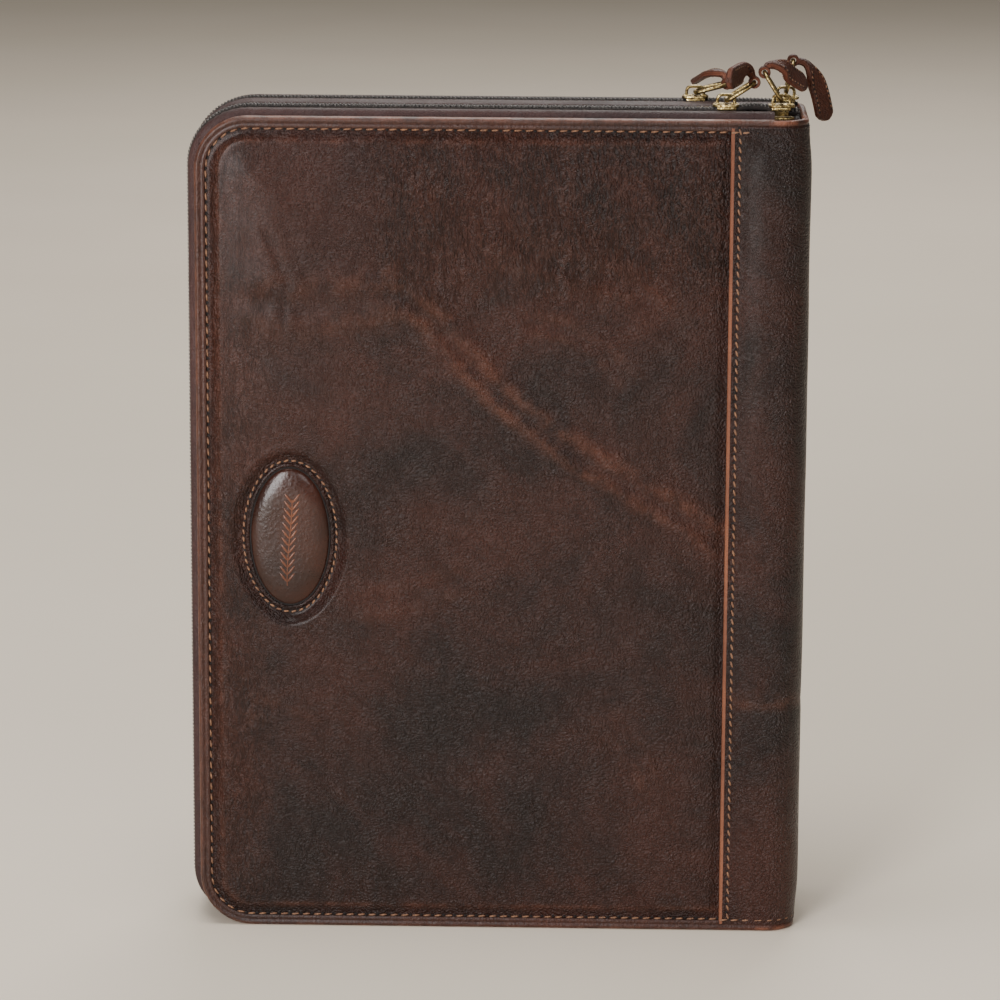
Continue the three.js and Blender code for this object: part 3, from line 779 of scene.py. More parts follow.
def bound_edge(end):
    route = rim((0, 0, 0), (face[end], inwards[end]), step=2 * MM)
    bm = sweep(new_mesh(), binding_section, route)
    body = f"{end}_cover"
    finish_piece(f"{end}_bound_edge", bm, edge_hide, body, (f"{end}_cover_binding",))
    places = [(p - inwards[end] * 1.02 * MM * smooth((p.x - yoke_x) / MM), along, up)
              for p, along, up in spaced(line_on(route, -3.75 * MM, 0.98 * MM), edge_pitch)]
    stitches(f"{end}_edge_stitches", places, 2.5 * MM, edge_pitch, body)


bound_edge("front")
bound_edge("back")

# ---------------------------------------------------------------- spine leather


spine_bend = 9.6 * MM


def spine_outline(end, start, count=9):
    """Places from a cover's face round to the middle of the spine, each with the way into the case."""
    sign = -1 if end == "front" else 1
    bend = spine_bend
    cx, cy = spine_x - bend, face[end] - sign * bend
    places = []
    for i in range(count):
        x = start + (cx - start) * i / count
        places.append((Vector((x, cy + sign * bend, 0)), Vector((0, -sign, 0))))
    for i in range(13):
        t = math.radians(90 * i / 12)
        places.append((Vector((cx + bend * math.sin(t), cy + sign * bend * math.cos(t), 0)),
                       Vector((-math.sin(t), -sign * math.cos(t), 0))))
    for i in range(1, 5):
        places.append((Vector((cx + bend, cy + (middle_y - cy) * i / 4, 0)), -X))
    return places


def spine_leather(end):
    """The spine leather laps over the cover with a raw edge; each half bends where its cover turns."""
    sign = -1 if end == "front" else 1
    low, high, crease_z, padding = 2.4 * MM, top - 2.4 * MM, 78 * MM, 1.15
    places = spine_outline(end, yoke_x + 0.5 * MM, count=26)
    bm = new_mesh()
    around = bm.verts.layers.float["round"]
    verts = []
    lead = [Vector((yoke_x + 0.05 * MM, face[end] - sign * 1.05 * MM, 0)),
            Vector((yoke_x - 0.05 * MM, face[end] - sign * 0.6 * MM, 0)),
            Vector((yoke_x + 0.15 * MM, face[end] - sign * 0.2 * MM, 0))]
    points = [(p, Vector((-1, sign, 0)).normalized() * -1) for p in lead] + places
    for i, (p, inward) in enumerate(points):
        v = bm.verts.new(p + Z * low)
        v[around] = i
        verts.append(v)
    edges = [bm.edges.new((a, b)) for a, b in zip(verts, verts[1:])]
    steps = 88
    for _ in range(steps):
        made = bmesh.ops.extrude_edge_only(bm, edges=edges)["geom"]
        edges = edges_of(made)
        bmesh.ops.translate(bm, vec=Z * (high - low) / steps, verts=points_of(made))
    crease = bm.verts.layers.float["crease"]
    for v in bm.verts:
        index = int(round(v[around]))
        inward = points[index][1]
        x, z = v.co.x, v.co.z
        across, from_crease = (x - yoke_x) / MM, (z - crease_z) / MM
        push = 0.18 * rough(x, v.co.y * 0.5, z, 26 * MM) + 0.14 * bump(across - 2.7, 0.8) * (index > 2)
        push += 0.4 * bump(from_crease, 1.2) * smooth(across / 8)
        push -= 0.28 * bump((top - z) / MM - 5.0, 0.8) * (1 - smooth(across / 10 - 0.6))
        v[crease] = 0.5 * bump(from_crease, 1.4)
        full = 0.3 + 0.7 * smooth((min(z - low, high - z) / MM - 1) / 13)
        push -= padding * full * smooth((across - 2.6) / 10.5) * (index > 2)
        if index > 1:
            v.co += inward * push * MM
        v[around] = 1.0 if x < yoke_x + 1.3 * MM else 0.0
    for f in bm.faces:
        f.material_index = 1 if f.calc_center_median().x < yoke_x + 0.9 * MM else 0
    towards = Vector((0.3, sign, 0))
    turn_faces(bm, towards)
    bmesh.ops.solidify(bm, geom=bm.faces, thickness=1.1 * MM)
    made = finish_piece(f"{end}_spine_leather", bm, [hide, raw_edge], None,
                        (f"{end}_yoke_leather", "spine_leather"), towards)
    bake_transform(made, f"{end}_cover", "core", start=(fold - 3 * MM, face[end], top / 2),
             end=(fold + 5 * MM, face[end], top / 2))
    line = [(Vector((yoke_x + 2.8 * MM, face[end], z)), -inwards[end]) for z in (3.6 * MM, top - 3.0 * MM)]
    stitches(f"{end}_yoke_stitches", spaced(line, yoke_pitch), 2.2 * MM, yoke_pitch, f"{end}_cover", 0.32)
    return made


spine_leather("front")
spine_leather("back")


def spine_edge(end, where):
    """The bound edge goes on round the spine at the top and at the bottom."""
    up = Z if where == "top" else -Z
    level = top if where == "top" else 0.0
    outline = spine_outline(end, fold - 2.2 * MM, count=5)
    route = [station(p + Z * level, up, inward) for p, inward in outline]
    slim = in_mm(
        (-3.4, 0.95), (-3.45, 0.45), (-3.2, 0.15), (-2.7, 0.05), (-2.2, 0.12), (-1.95, 0.28), (-1.7, 0.15),
        (-1.2, -0.04), (-0.7, 0.02), (-0.2, 0.4), (0.02, 1.1), (0.0, 1.5), (-0.3, 1.95), (-1.0, 2.15),
        (-2.2, 2.15), (-2.3, 1.5), (-2.5, 1.0))
    bm = sweep(new_mesh(), slim, route)
    roll = finish_piece(f"{end}_spine_{where}_edge", bm, edge_hide, None,
                        (f"spine_{where}_binding",))
    places = spaced(line_on(route, -3.8 * MM, -0.05 * MM), spine_end_pitch)
    dots = stitches(f"{end}_spine_{where}_stitches", places, 2.3 * MM, spine_end_pitch)
    for made in (roll, dots):
        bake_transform(made, f"{end}_cover", "core", start=(fold - 2.5 * MM, face[end], level),
                 end=(fold + 4 * MM, face[end], level))


for cover in ("front", "back"):
    for where in ("top", "bottom"):
        spine_edge(cover, where)

# ---------------------------------------------------------------- the oval patch

patch_floor = face["front"] + 1.0 * MM
dome = 1.75 * MM


def dome_height(x, z):
    s = math.hypot(x / patch_w, z / patch_h)
    return dome * max(0.0, 1 - s ** 5.0) ** 0.55 if s < 1 else 0.0


def oval(reach, count=96):
    """Stations round the window, reach outside its edge."""
    route = []
    for i in range(count + 1):
        t = 2 * math.pi * (i % count) / count
        a, b = patch_w + reach, patch_h + reach
        out = Vector((b * math.cos(t), 0, a * math.sin(t))).normalized()
        place = Vector((patch_x + a * math.cos(t), patch_floor, patch_z + b * math.sin(t)))
        route.append(station(place, out, Y))
    return route


def oval_patch():
    bm = new_mesh()
    shares = (0, 0.2, 0.4, 0.55, 0.68, 0.78, 0.86, 0.915, 0.955, 0.982, 0.996, 1.0)
    profile = [bm.verts.new((patch_h * r, -dome_height(0, patch_h * r), 0)) for r in shares]
    edges = [bm.edges.new((a, b)) for a, b in zip(profile, profile[1:])]
    bmesh.ops.spin(bm, geom=profile + edges, cent=(0, 0, 0), axis=(0, 1, 0), angle=2 * math.pi, steps=96,
                   use_merge=True)
    bmesh.ops.remove_doubles(bm, verts=bm.verts, dist=1e-6)
    bmesh.ops.scale(bm, vec=(patch_w / patch_h, 1, 1), verts=bm.verts)
    for v in bm.verts:
        v.co.y += 0.1 * MM * rough(v.co.x, 4, v.co.z, 9 * MM)
    bmesh.ops.translate(bm, vec=(patch_x, patch_floor, patch_z), verts=bm.verts)
    pad = finish_piece("oval_patch_dome", bm, patch_hide, "front_cover",
                       ("oval_patch", "oval_patch_pad"), -Y)
    # painted shade: a dark ring in the groove between the window's edge and the dome
    gap_shade_section = [(0.42 * MM * a, 0.25 * MM * b) for a, b in round_section(1.0, 8)]
    finish_piece("oval_patch_gap_painted_shade", sweep(new_mesh(), gap_shade_section, oval(0.12 * MM), loop=True), painted_hole_shade, "front_cover")
    lip = in_mm((-0.45, 0.3), (-0.5, -0.15), (-0.3, -0.42), (0.1, -0.48), (0.6, -0.3), (1.0, 0.05),
                (1.05, 0.3))
    turned = sweep(new_mesh(), lip, oval(0.95 * MM), loop=True)
    finish_piece("oval_window_lip", turned, hide, "front_cover")
    ring = line_on(oval(2.45 * MM), 0, 0.02 * MM)
    stitches("oval_patch_stitches", spaced(ring, patch_pitch), 1.8 * MM, patch_pitch, "front_cover", 0.2)


def sprig():
    """A plain leafy sprig pressed on the patch: a stem and slim leaves in pairs."""
    leaf = small_mesh(("bead", scaled(2.1 * MM, 0.42 * MM, 0.22 * MM, (1.9 * MM, 0, 0)), 0))
    places, stem = [], []
    for i in range(25):
        z = (-16 + 28.5 * i / 24) * MM
        x = 0.9 * MM * math.sin(z / (9 * MM))
        stem.append((Vector((x, -dome_height(x, z) + 0.02 * MM, z)), z))
    for i in range(1, 13):
        p, z = stem[2 * i - 1]
        for sign in (-1, 1):
            along = Vector((sign * 0.62, 0, 0.78)).normalized()
            tip = p + along * 3.6 * MM
            along = (Vector((tip.x, -dome_height(tip.x, tip.z) + 0.02 * MM, tip.z)) - p).normalized()
            places.append((p, along, -Y))
    bm = repeat(new_mesh(), leaf, places)
    sweep(bm, round_section(0.22 * MM, 6), [station(p, X, Y) for p, _ in stem])
    bmesh.ops.translate(bm, vec=(patch_x, patch_floor, patch_z), verts=bm.verts)
    finish_piece("oval_patch_sprig", bm, sprig_hide, "front_cover", sharp=80)


oval_patch()
sprig()

# ---------------------------------------------------------------- zips, gussets and band

row = {"front": joints["front_a_ring_swing"]["pos_m"][1], "rear": joints["rear_a_ring_swing"]["pos_m"][1]}
cover_of = {"front": "front_cover", "rear": "back_cover"}
slider_x = {k: joints[f"{k}_ring_swing"]["pos_m"][0] for k in ("front_a", "front_b", "rear_a", "rear_b")}


def strap_section(wide, thick, crown=0.12):
    """A flat strap's section with soft edges: across along the depth, thickness inwards from the outside."""
    w, t = wide / 2, thick
    soft = 0.25 * MM
    return [(0, -w + soft), (crown * MM, -w * 0.4), (crown * MM, w * 0.4), (0, w - soft), (-soft, w),
            (-t + soft, w), (-t, w - soft), (-t, 0), (-t, -w + soft), (-t + soft, -w), (-soft, -w)]


def gusset_section(wide, side):
    """A gusset's section: free at the zip; at the cover it turns down to where the bound edge holds it."""
    w = wide / 2
    points = [(0.0, -w + 0.25 * MM), (0.12 * MM, -w * 0.3), (0.05 * MM, w * 0.5), (-0.35 * MM, w * 0.86),
              (-1.1 * MM, w + 0.12 * MM), (-3.4 * MM, w + 0.3 * MM), (-3.4 * MM, w - 0.4 * MM),
              (-1.3 * MM, w - 0.55 * MM), (-1.0 * MM, w * 0.3), (-1.0 * MM, -w + 0.2 * MM),
              (-0.75 * MM, -w), (-0.25 * MM, -w)]
    return [(a, side * b) for a, b in points]


def strap(name, node, crown, body, look=band_hide, thick=1.0 * MM, end=None, rows=(1,), turned=0):
    low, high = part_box(node)
    wide, y = high.y - low.y, (high.y + low.y) / 2
    route = rim(crown, (y, Y), end)
    section = gusset_section(wide, turned) if turned else strap_section(wide, thick)
    finish_piece(name, sweep(new_mesh(), section, route), look, body, (node,))
    for i in rows:
        places = spaced(top_line(route, 0.02 * MM, i * (wide / 2 - 1.1 * MM)), band_pitch)
        row_name = f"{name}_stitches_{'a' if i < 0 else 'b'}"
        stitches(row_name, places, 1.9 * MM, band_pitch, body, 0.1, dark_thread, 0.26 * MM)


GUSSET, BAND, COIL = (2.4, 1.6, -0.5), (3.0, 2.0, -0.5), (3.2, 2.2, -0.5)
TAPE = tuple(c - 1.2 for c in GUSSET)
for end in ("front", "rear"):
    side = -1 if end == "front" else 1
    strap(f"{end}_gusset_strap", f"{end}_gusset", GUSSET, cover_of[end],
          rows=(-side,), turned=side)
strap("centre_band_strap", "centre_band", BAND, "core", rows=(-1, 1))


def tape_strip(end, half, body):
    node = f"{end}_zip_{half}_tape"
    low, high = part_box(node)
    wide, y = high.y - low.y, (high.y + low.y) / 2
    route = rim(TAPE, (y, Y), high.x)
    bm = sweep(new_mesh(), strap_section(wide, 0.6 * MM, 0.0), route)
    finish_piece(f"{end}_{half}_tape_weave", bm, tape, body, (node,))


def chain_lift(end):
    """Between its two sliders the front chain rises a little."""
    a, b = slider_x[f"{end}_a"], slider_x[f"{end}_b"]
    tall = 1.3 * MM if end == "front" else 0.3 * MM
    return lambda x: tall * math.sin(math.pi * (x - a) / (b - a)) if a < x < b else 0.0


def coil(end, half, body):
    """Half of a zip: a nylon loop every 1.2 mm, sewn along a flat cord."""
    node = f"{end}_zip_{half}_coil"
    low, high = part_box(node)
    y = (low.y + high.y) / 2
    sign = math.copysign(1, row[end] - y)
    route = rim(COIL, (y, Y), high.x, lift=chain_lift(end))
    tooth = small_mesh(("loop", scaled(0.34 * MM, 1.3 * MM, 0.66 * MM, (0, 0, -0.5 * MM)), 0))
    pitch = 1.2 * MM
    places = spaced(top_line(route, 0, sign * 0.55 * MM), pitch, start=0.0 if half == "outer" else pitch / 2)
    bm = repeat(new_mesh(), tooth, places, slant=0.2)
    cord = in_mm((-0.5, 0.3), (-0.3, 0.6), (-0.5, 0.95), (-1.1, 1.0), (-1.6, 0.6), (-1.6, -1.3),
                 (-1.3, -1.5), (-1.0, 0.0))
    sweep(bm, [(a, -sign * b) for a, b in cord], route, look=1)
    finish_piece(f"{end}_{half}_coil_loops", bm, [nylon, tape], body, (node,), sharp=40)


for end in ("front", "rear"):
    for half, body in (("outer", cover_of[end]), ("inner", "core")):
        tape_strip(end, half, body)
        coil(end, half, body)

# ---------------------------------------------------------------- sliders, rings and pulls

plate_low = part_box("front_zip_outer_coil")[1].z + 0.3 * MM


def plate(bm, x, y, low, high, long, wide, nose):
    """A slider's plate: rounded at the tail, broad at the nose, with softened edges."""
    made = bmesh.ops.create_circle(bm, cap_ends=True, segments=36, radius=1.0)["verts"]
    for v in made:
        a = math.atan2(v.co.y, v.co.x)
        cx, sy = math.cos(a), math.sin(a)
        px = soft_power(cx, 0.55)
        py = soft_power(sy, 0.55) * (0.86 + 0.14 * px)
        v.co = (x + nose * px * long / 2, y + py * wide / 2, low)
    base = next(f for f in made[0].link_faces)
    grown = bmesh.ops.extrude_face_region(bm, geom=[base])["geom"]
    verts = points_of(grown)
    bmesh.ops.translate(bm, vec=(0, 0, high - low), verts=verts)
    edges = {e for v in list(made) + verts for e in v.link_edges if is_level(e)}
    soften(bm, list(edges), 0.28 * MM)


def arch_route(x, y, foot, head, reach):
    route = []
    for i in range(25):
        t = math.pi * i / 24
        dx = -soft_power(math.cos(t), 0.5) * reach
        dz = abs(math.sin(t)) ** 0.5 * (head - foot)
        route.append(Vector((x + dx, y, foot + dz)))
    stations = []
    for i, p in enumerate(route):
        along = (route[min(i + 1, 24)] - route[max(i - 1, 0)]).normalized()
        stations.append(station(p, along.cross(Y), Y))
    return stations


def slider_piece(name):
    x, y = slider_x[name], row[name.split("_")[0]]
    low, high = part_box(f"{name}_slider")
    nose = 1 if name.endswith("_a") else -1
    bm = new_mesh()
    plate(bm, x, y, plate_low, plate_low + 0.95 * MM, 8.6 * MM, 7.0 * MM, nose)
    plate(bm, x, y, low.z, low.z + 0.95 * MM, 8.4 * MM, 6.8 * MM, nose)
    wedge, flange = (2.3, 0.2, 1.5), (3.0, 0.26, 0.45)
    tail_boss, nose_boss = (1.5, 1.3, 0.25), (0.9, 0.9, 0.3)
    for size, at in ((wedge, (0, 0, -1.4)), (flange, (0.2 * nose, 3.1, -0.3)),
                     (flange, (0.2 * nose, -3.1, -0.3)), (tail_boss, (-2.2 * nose, 0, 1.0)),
                     (nose_boss, (2.6 * nose, 0, 1.0))):
        spot = Vector((x, y, plate_low)) + Vector(at) * MM
        soft_cube(bm, scaled(*(s * MM for s in size), spot), 0.12 * MM)
    bar = in_mm((0.4, -0.6), (0.55, 0), (0.4, 0.6), (0, 0.78), (-0.4, 0.6), (-0.5, 0), (-0.4, -0.6),
                (0, -0.78))
    sweep(bm, bar, arch_route(x, y, plate_low + 0.7 * MM, high.z - 0.5 * MM, 2.75 * MM))
    body = f"{name}_slider"
    finish_piece(f"{name}_slider_body", bm, brass, body, (body,), sharp=35)


def ring_piece(name):
    pivot, eye = Vector(joints[f"{name}_ring_swing"]["pos_m"]), Vector(joints[f"{name}_pull_swing"]["pos_m"])
    long, ahead = (eye - pivot).length / 2, (eye - pivot).normalized()
    centre, flat = (pivot + eye) / 2, ahead.cross(Y)
    points = [centre + ahead * long * soft_power(math.cos(t)) + Y * 4.0 * MM * soft_power(math.sin(t))
              for t in [2 * math.pi * i / 72 for i in range(72)]]
    route = []
    for i in range(73):
        p, q, r = points[i % 72], points[(i + 1) % 72], points[(i - 1) % 72]
        out = (q - r).normalized().cross(flat)
        route.append(station(p, out, flat))
    body = f"{name}_ring"
    loop = sweep(new_mesh(), round_section(0.65 * MM, 10), route, loop=True)
    finish_piece(f"{name}_wire_ring", loop, brass, body, (body,), sharp=80)


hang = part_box("spine_top_binding")[1].x - joints["rear_b_pull_swing"]["pos_m"][0]
# each strap's way from its ring, in millimetres, and how far it turns over as it goes
pull_ways = {
    "front_a": ([(-1.2, -0.6, 2.6), (-3.5, -6, 4), (-9.5, -22, 3)], 1.35),
    "front_b": ([(1.6, 1.2, 2), (6, 4.4, 1), (9, 8, -2), (13.5, 14, -5.5)], 0.6),
    "rear_a": ([(-1, 1.5, 2.4), (-5, 9, 2), (-10, 22, -2)], 0.25),
    "rear_b": ([(hang / MM - 1.05, 0.5, -1.6), (hang / MM + 2.95, 1, -10), (hang / MM + 6.35, 1.5, -25)],
               0.9),
}


def flowing(points, count=60):
    """A smooth line through a few points."""
    padded = [points[0] * 2 - points[1], *points, points[-1] * 2 - points[-2]]
    line = []
    for i in range(1, len(padded) - 2):
        a, b, c, d = padded[i - 1: i + 3]
        for k in range(count):
            t = k / count
            line.append(0.5 * ((2 * b) + (c - a) * t + (2 * a - 5 * b + 4 * c - d) * t * t
                               + (3 * b - a - 3 * c + d) * t ** 3))
    return line + [points[-1]]


def pull_piece(name):
    """A strap folded through the ring, glued to itself and sewn along both edges."""
    eye = Vector(joints[f"{name}_pull_swing"]["pos_m"])
    way, turn = pull_ways[name]
    line = flowing([Vector((0, 0, 0))] + [Vector(p) * MM for p in way])
    gone, marks = 0.0, [0.0]
    for p, q in zip(line, line[1:]):
        gone += (q - p).length
        marks.append(gone)
    length, start = min(24 * MM, gone), 1.45 * MM

    def at(distance):
        i = next((k for k, m in enumerate(marks) if m >= distance), len(marks) - 1)
        return line[i], (line[min(i + 1, len(line) - 1)] - line[max(i - 1, 0)]).normalized()

    def here(s):
        p, ahead = at(start + (length - start) * s)
        side = (Y - ahead * Y.dot(ahead)).normalized()
        side = Matrix.Rotation(turn * smooth(s / 0.5), 3, ahead) @ side
        tip = math.sqrt(max(0.0, 1 - ((s - 0.86) / 0.142) ** 2)) if s > 0.86 else 1.0
        width = (3.6 + 3.4 * smooth((s - 0.05) / 0.4)) * max(tip, 0.25) * MM
        return eye + p, side, ahead.cross(side), width

    route = []
    for i in range(31):
        s = i / 30
        p, side, up, width = here(s)
        route.append(station(p, side, up, width / 2, 1.05 * MM))
    section = [(-1, 0.5), (-1, 0.12), (-0.95, 0), (-1, -0.12), (-1, -0.5), (-0.9, -0.92), (-0.7, -1),
               (0.7, -1), (0.9, -0.92), (1, -0.5), (1, -0.12), (0.95, 0), (1, 0.12), (1, 0.5), (0.9, 0.92),
               (0.7, 1), (-0.7, 1), (-0.9, 0.92)]
    bm = sweep(new_mesh(), section, route)
    loop = []
    for i in range(25):
        t = 2 * math.pi * (i % 24) / 24
        out = Vector((math.cos(t), 0, math.sin(t)))
        loop.append(station(eye + out * 1.45 * MM, out, Y))
    fold_section = in_mm((-0.46, -1.3), (0.3, -1.6), (0.48, -1.3), (0.48, 1.3), (0.3, 1.6), (-0.46, 1.3))
    sweep(bm, fold_section, loop, loop=True)
    around = bm.verts.layers.float["round"]
    edge_points, half_way = {0, 1, 2, 3, 4, 9, 10, 11, 12, 13}, len(section) // 2
    for f in bm.faces:
        found = [int(round(v[around] * len(section))) for v in f.verts]
        if len(found) == 4 and edge_points.issuperset(found) and len({n // half_way for n in found}) == 1:
            f.material_index = 1  # the strap's raw edge
    body = f"{name}_pull"
    finish_piece(f"{name}_strap", bm, [pull_hide, strap_edge], body, (body,), sharp=60)
    places = []
    for i in range(9):
        s = 0.26 + 0.07 * i
        p, side, up, width = here(s)
        ahead = here(s + 0.01)[0] - here(s - 0.01)[0]
        for edge in (-1, 1):
            for face_sign in (-1, 1):
                places.append((p + side * edge * (width / 2 - 0.95 * MM) + up * face_sign * 1.06 * MM,
                               ahead.normalized(), up * face_sign))
    stitches(f"{name}_strap_stitches", places, 1.1 * MM, 1.6 * MM, body, 0.0, thread, 0.2 * MM)


for name in slider_x:
    slider_piece(name)
    ring_piece(name)
    pull_piece(name)

# ---------------------------------------------------------------- linings, sleeves and pocket


def lining_sheet(name, node, body, inset, ripple, right=None):
    """A lining glued over a board: a sheet cut to the cover's outline."""
    low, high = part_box(node)
    right = high.x if right is None else right
    y = (low.y + high.y) / 2
    wide, tall = right - low.x, high.z - low.z
    bm = grid(wide, tall, 3 * MM)
    for v in bm.verts:
        x, z = rounded(low.x + (v.co.x + 0.5) * wide, low.z + (v.co.y + 0.5) * tall, inset)
        v.co = (x, y + ripple * rough(x, y, z, 14 * MM), z)
    made = finish_piece(name, bm, lining_cloth, body, (node,))
    thicken(made, min(0.35 * MM, (high.y - low.y) * 0.8))


for end in ("front", "back"):
    lining_sheet(f"{end}_lining_cloth", f"{end}_cover_lining", f"{end}_cover", 2.4 * MM, 0.08 * MM)
for end in ("front", "rear"):
    lining_sheet(f"leaf_{end}_lining_cloth", f"centre_leaf_{end}_lining", "core", 2.4 * MM, 0.05 * MM)


def pocket_sheet(name, node, body, to_lining, open_side):
    """A cloth pocket sewn down on three sides: to_lining is the way it turns in, open_side is left open."""
    low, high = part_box(node)
    wide, tall = high.x - low.x, high.z - low.z
    y_out, y_in = (high.y, low.y) if to_lining < 0 else (low.y, high.y)
    y_out += 0.25 * MM * to_lining
    y_in -= 0.25 * MM * to_lining
    bm = grid(wide, tall, 2 * MM)
    for v in bm.verts:
        a, b = (v.co.x + 0.5) * wide, (v.co.y + 0.5) * tall
        gaps = {"left": a, "right": wide - a, "bottom": b, "top": tall - b}
        gaps.pop(open_side)
        share = smooth((min(gaps.values()) / MM - 0.4) / 3.2)
        y = y_in + (y_out - y_in) * share + 0.12 * MM * rough(a, y_in, b, 22 * MM) * share
        v.co = (low.x + a, y, low.z + b)
    made = finish_piece(name, bm, lining_cloth, body, (node,))
    thicken(made, 0.35 * MM)
    welt = in_mm((0.5, 0.3), (0.3, 0.42), (-0.8, 0.42), (-0.8, -0.42), (0.3, -0.42), (0.5, -0.3))
    if open_side == "top":
        first, last, out = (low.x + 1 * MM, y_out, high.z), (high.x - 1 * MM, y_out, high.z), Z
    else:
        first, last, out = (high.x, y_out, low.z + 1 * MM), (high.x, y_out, high.z - 1 * MM), X
    route = [station(Vector(first).lerp(Vector(last), i / 12), out, Y) for i in range(13)]
    finish_piece(f"{name}_welt", sweep(new_mesh(), welt, route), edge_hide, body)


pocket_sheet("front_sleeve_cloth", "front_sleeve", "front_cover", -1, "right")
pocket_sheet("centre_sleeve_cloth", "centre_sleeve", "core", 1, "right")
pocket_sheet("back_pocket_cloth", "back_pocket", "back_cover", 1, "top")

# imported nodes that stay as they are, with a better finish
kept_nodes = {"front_cover_board": greyboard, "back_cover_board": greyboard, "centre_leaf_board": greyboard,
              "spine_board": greyboard, "spine_lining": lining_cloth}
for node, look in kept_nodes.items():
    frame["nodes"][node].data.materials.clear()
    frame["nodes"][node].data.materials.append(look)


def end_cap(where):
    """The leather that closes the spine's end between the two zips, with a turned edge."""
    node = f"spine_{where}_cap"
    low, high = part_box(node)
    bm = block_of(node)
    upright = [e for e in bm.edges
               if abs(e.verts[0].co.z - e.verts[1].co.z) > 1e-5 and e.verts[0].co.x > (low.x + high.x) / 2]
    soften(bm, upright, (high.x - low.x) * 0.98, 8)
    soften(bm, [e for e in bm.edges if is_level(e)], 0.3 * MM)
    finish_piece(f"{node}_leather", bm, band_hide, "core", (node,), sharp=35)


end_cap("top")
end_cap("bottom")

# ---------------------------------------------------------------- the bible


def cloth_board(name, node, body, outside):
    """A bible board: rounded edges, with a fine double line pressed round its outside."""
    bm = block_of(node)
    soften(bm, bm.edges[:], 0.45 * MM, 3)
    for sign in (outside, -outside):
        broad = max(bm.faces, key=lambda f: f.calc_area() * (f.normal.y * sign > 0.9))
        for thick, deep in ((5 * MM, 0), (0.35 * MM, 0), (0.35 * MM, -0.16 * MM), (0.35 * MM, 0.16 * MM),
                            (0.9 * MM, 0), (0.25 * MM, -0.12 * MM), (0.25 * MM, 0.12 * MM)):
            bmesh.ops.inset_region(bm, faces=[broad], thickness=thick, depth=deep)
    finish_piece(name, bm, bible_hide, body, (node,), sharp=35)


cloth_board("bible_front_cover", "bible_front_board", "front_cover", -1)
cloth_board("bible_back_cover", "bible_back_board", "core", 1)


def spine_cover():
    low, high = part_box("bible_spine_cover")
    bm = new_mesh()
    section, steps = [], 12
    bulge = (high.x - low.x) - 1.2 * MM
    for i in range(steps + 1):
        y = low.y + (high.y - low.y) * i / steps
        section.append((low.x + 1.2 * MM + bulge * math.sin(math.pi * i / steps), y))
    section += [(x - 1.15 * MM, y) for x, y in reversed(section)]
    rows = [low.z, low.z + 0.4 * MM]
    for k in range(1, 6):
        z = low.z + (high.z - low.z) * k / 6
        rows += [z - 1.6 * MM, z - 1.0 * MM, z + 1.0 * MM, z + 1.6 * MM]
    rows += [high.z - 0.4 * MM, high.z]
    route = []
    for i, z in enumerate(rows):
        band = 1.0 if (i - 2) % 4 in (1, 2) and 1 < i < len(rows) - 2 else 0.0
        route.append(station(Vector((band * 0.25 * MM, 0, z)), X, Y))
    sweep(bm, section, route)
    finish_piece("bible_spine_leather", bm, bible_hide, "core", ("bible_spine_cover",),
                 sharp=40)


spine_cover()


def leaves(name, node, body, hollow=0.0, swell=0.0):
    """A block of leaves: gilt on its three cut edges, printed on its faces."""
    low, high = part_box(node)
    bm = new_mesh()
    outline, steps = [], 10
    for i in range(steps + 1):
        share = i / steps
        outline.append((low.x + hollow * math.sin(math.pi * share), low.y + (high.y - low.y) * share))
    for i in range(steps, -1, -1):
        share = i / steps
        outline.append((high.x - swell + swell * math.sin(math.pi * share),
                        low.y + (high.y - low.y) * share))
    places = [(0.05 * MM * math.sin(k * 2.1), 0, low.z + (high.z - low.z) * k / 24) for k in range(25)]
    route = [station(Vector(p), X, Y) for p in places]
    sweep(bm, outline, route)
    bm.normal_update()
    for f in bm.faces:
        f.material_index = 1 if abs(f.normal.y) > 0.9 else 0
    finish_piece(name, bm, [gilt, printed], body, (node,), sharp=30)


leaves("bible_leaves", "page_block", "core", 1.15 * MM, 0.8 * MM)
leaves("bible_front_leaves", "front_page_block", "front_pages")


def thin_leaf(name, node, body, look, ripple, spacing=4 * MM, tail=None):
    low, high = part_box(node)
    wide, tall, y = high.x - low.x, high.z - low.z, (low.y + high.y) / 2
    bm = grid(wide, tall, spacing)
    for v in bm.verts:
        a, b = (v.co.x + 0.5), (v.co.y + 0.5)
        x, z = low.x + a * wide, low.z + b * tall
        if tail and b < 0.02:
            z += abs(a - 0.5) * 2 * tail
        v.co = (x, y + ripple * rough(x, 2, z, 60 * MM), z)
    made = finish_piece(name, bm, look, body, (node,))
    thicken(made, 0.12 * MM)


thin_leaf("bible_flyleaf", "front_flyleaf", "flyleaf", printed, 0.05 * MM)
thin_leaf("bible_ribbon", "ribbon_marker", "core", satin, 0.06 * MM, 1.0 * MM, 1.6 * MM)


def end_band(node):
    """A head or tail band: a core cord wound with thread in close turns."""
    low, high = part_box(node)
    centre, r = (low + high) / 2, (high.z - low.z) / 2
    long, count = high.y - low.y, 18
    route = []
    for i in range(count * 4 + 1):
        y = low.y + long * i / (count * 4)
        swell = 1.0 if i % 4 in (1, 2) else 0.86
        route.append(station(Vector((centre.x, y, centre.z)), X, Z, swell * (high.x - low.x) / 2, swell * r))
    wound = sweep(new_mesh(), round_section(1.0, 8), route)
    finish_piece(f"{node}_cord", wound, cotton, "core", (node,), sharp=80)


end_band("head_band")
end_band("tail_band")

# ---------------------------------------------------------------- studio


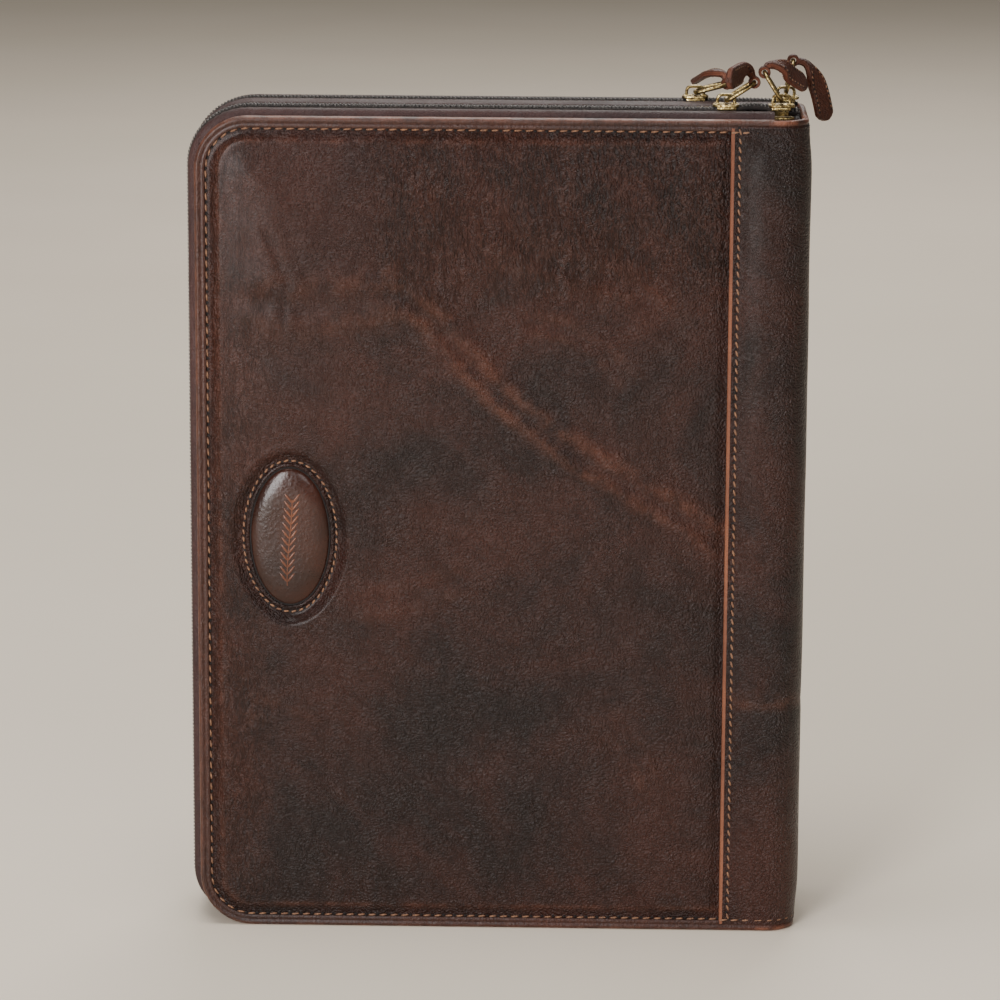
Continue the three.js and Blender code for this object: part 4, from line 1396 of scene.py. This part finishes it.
def build_floor(tree):
    fine = cloud(tree, own_coordinates(tree), 6.0, 3.0)
    return {"Colour": mix(tree, fine, tint(226, 214, 196), tint(232, 221, 204)),
            "Roughness": between(tree, fine, 0.3, 0.7, 0.75, 0.82)}


def studio():
    bm = new_mesh()
    bmesh.ops.create_grid(bm, x_segments=1, y_segments=1, size=6.0)
    floor = finish_piece("studio_floor", bm, material("studio_floor", build_floor), faces_towards=Z)
    lights = [("key", (-0.5, -1.25, 0.42), 0.4, 0.8, 21.0, (1.0, 0.98, 0.98)),
              ("side", (0.4, -1.3, 0.62), 0.4, 0.4, 2.5, (1.0, 0.98, 0.97)),
              ("top", (-0.25, -0.2, 1.7), 0.9, 0.9, 19.0, (1.0, 0.98, 0.95)),
              ("back", (0.2, 1.7, 1.5), 1.2, 1.2, 22.0, (1.0, 0.96, 0.92))]
    lit = Vector((0, 0, 0.13))  # the point that every light looks at
    for name, place, wide, tall, power, colour in lights:
        lamp = bpy.data.lights.new(name, "AREA")
        lamp.shape = "RECTANGLE"
        lamp.size, lamp.size_y, lamp.energy, lamp.color = wide, tall, power, colour
        lamp_object = add_object(name, lamp)
        lamp_object.location = place
        lamp_object.rotation_euler = (lit - Vector(place)).to_track_quat("-Z", "Y").to_euler()
    air_colour, air_strength = (1.0, 0.95, 0.88, 1), 0.19
    world = bpy.data.worlds.new("studio_air")
    world.use_nodes = True
    world.node_tree.nodes["Background"].inputs["Color"].default_value = air_colour
    world.node_tree.nodes["Background"].inputs["Strength"].default_value = air_strength
    bpy.context.scene.world = world
    camera_place, swing, look_down, roll = (0.0324, -1.4366, 0.4603), 1.43, 12.63, 0.29  # degrees
    lens = bpy.data.cameras.new("camera")
    lens.lens, lens.sensor_width = 162.2, 36.0
    camera = add_object("camera", lens)
    turn = Matrix.Rotation(math.radians(swing), 4, "Z")
    turn = turn @ Matrix.Rotation(math.radians(90 - look_down), 4, "X")
    turn = turn @ Matrix.Rotation(math.radians(roll), 4, "Z")
    camera.matrix_world = Matrix.Translation(camera_place) @ turn
    bpy.context.scene.camera = camera


studio()
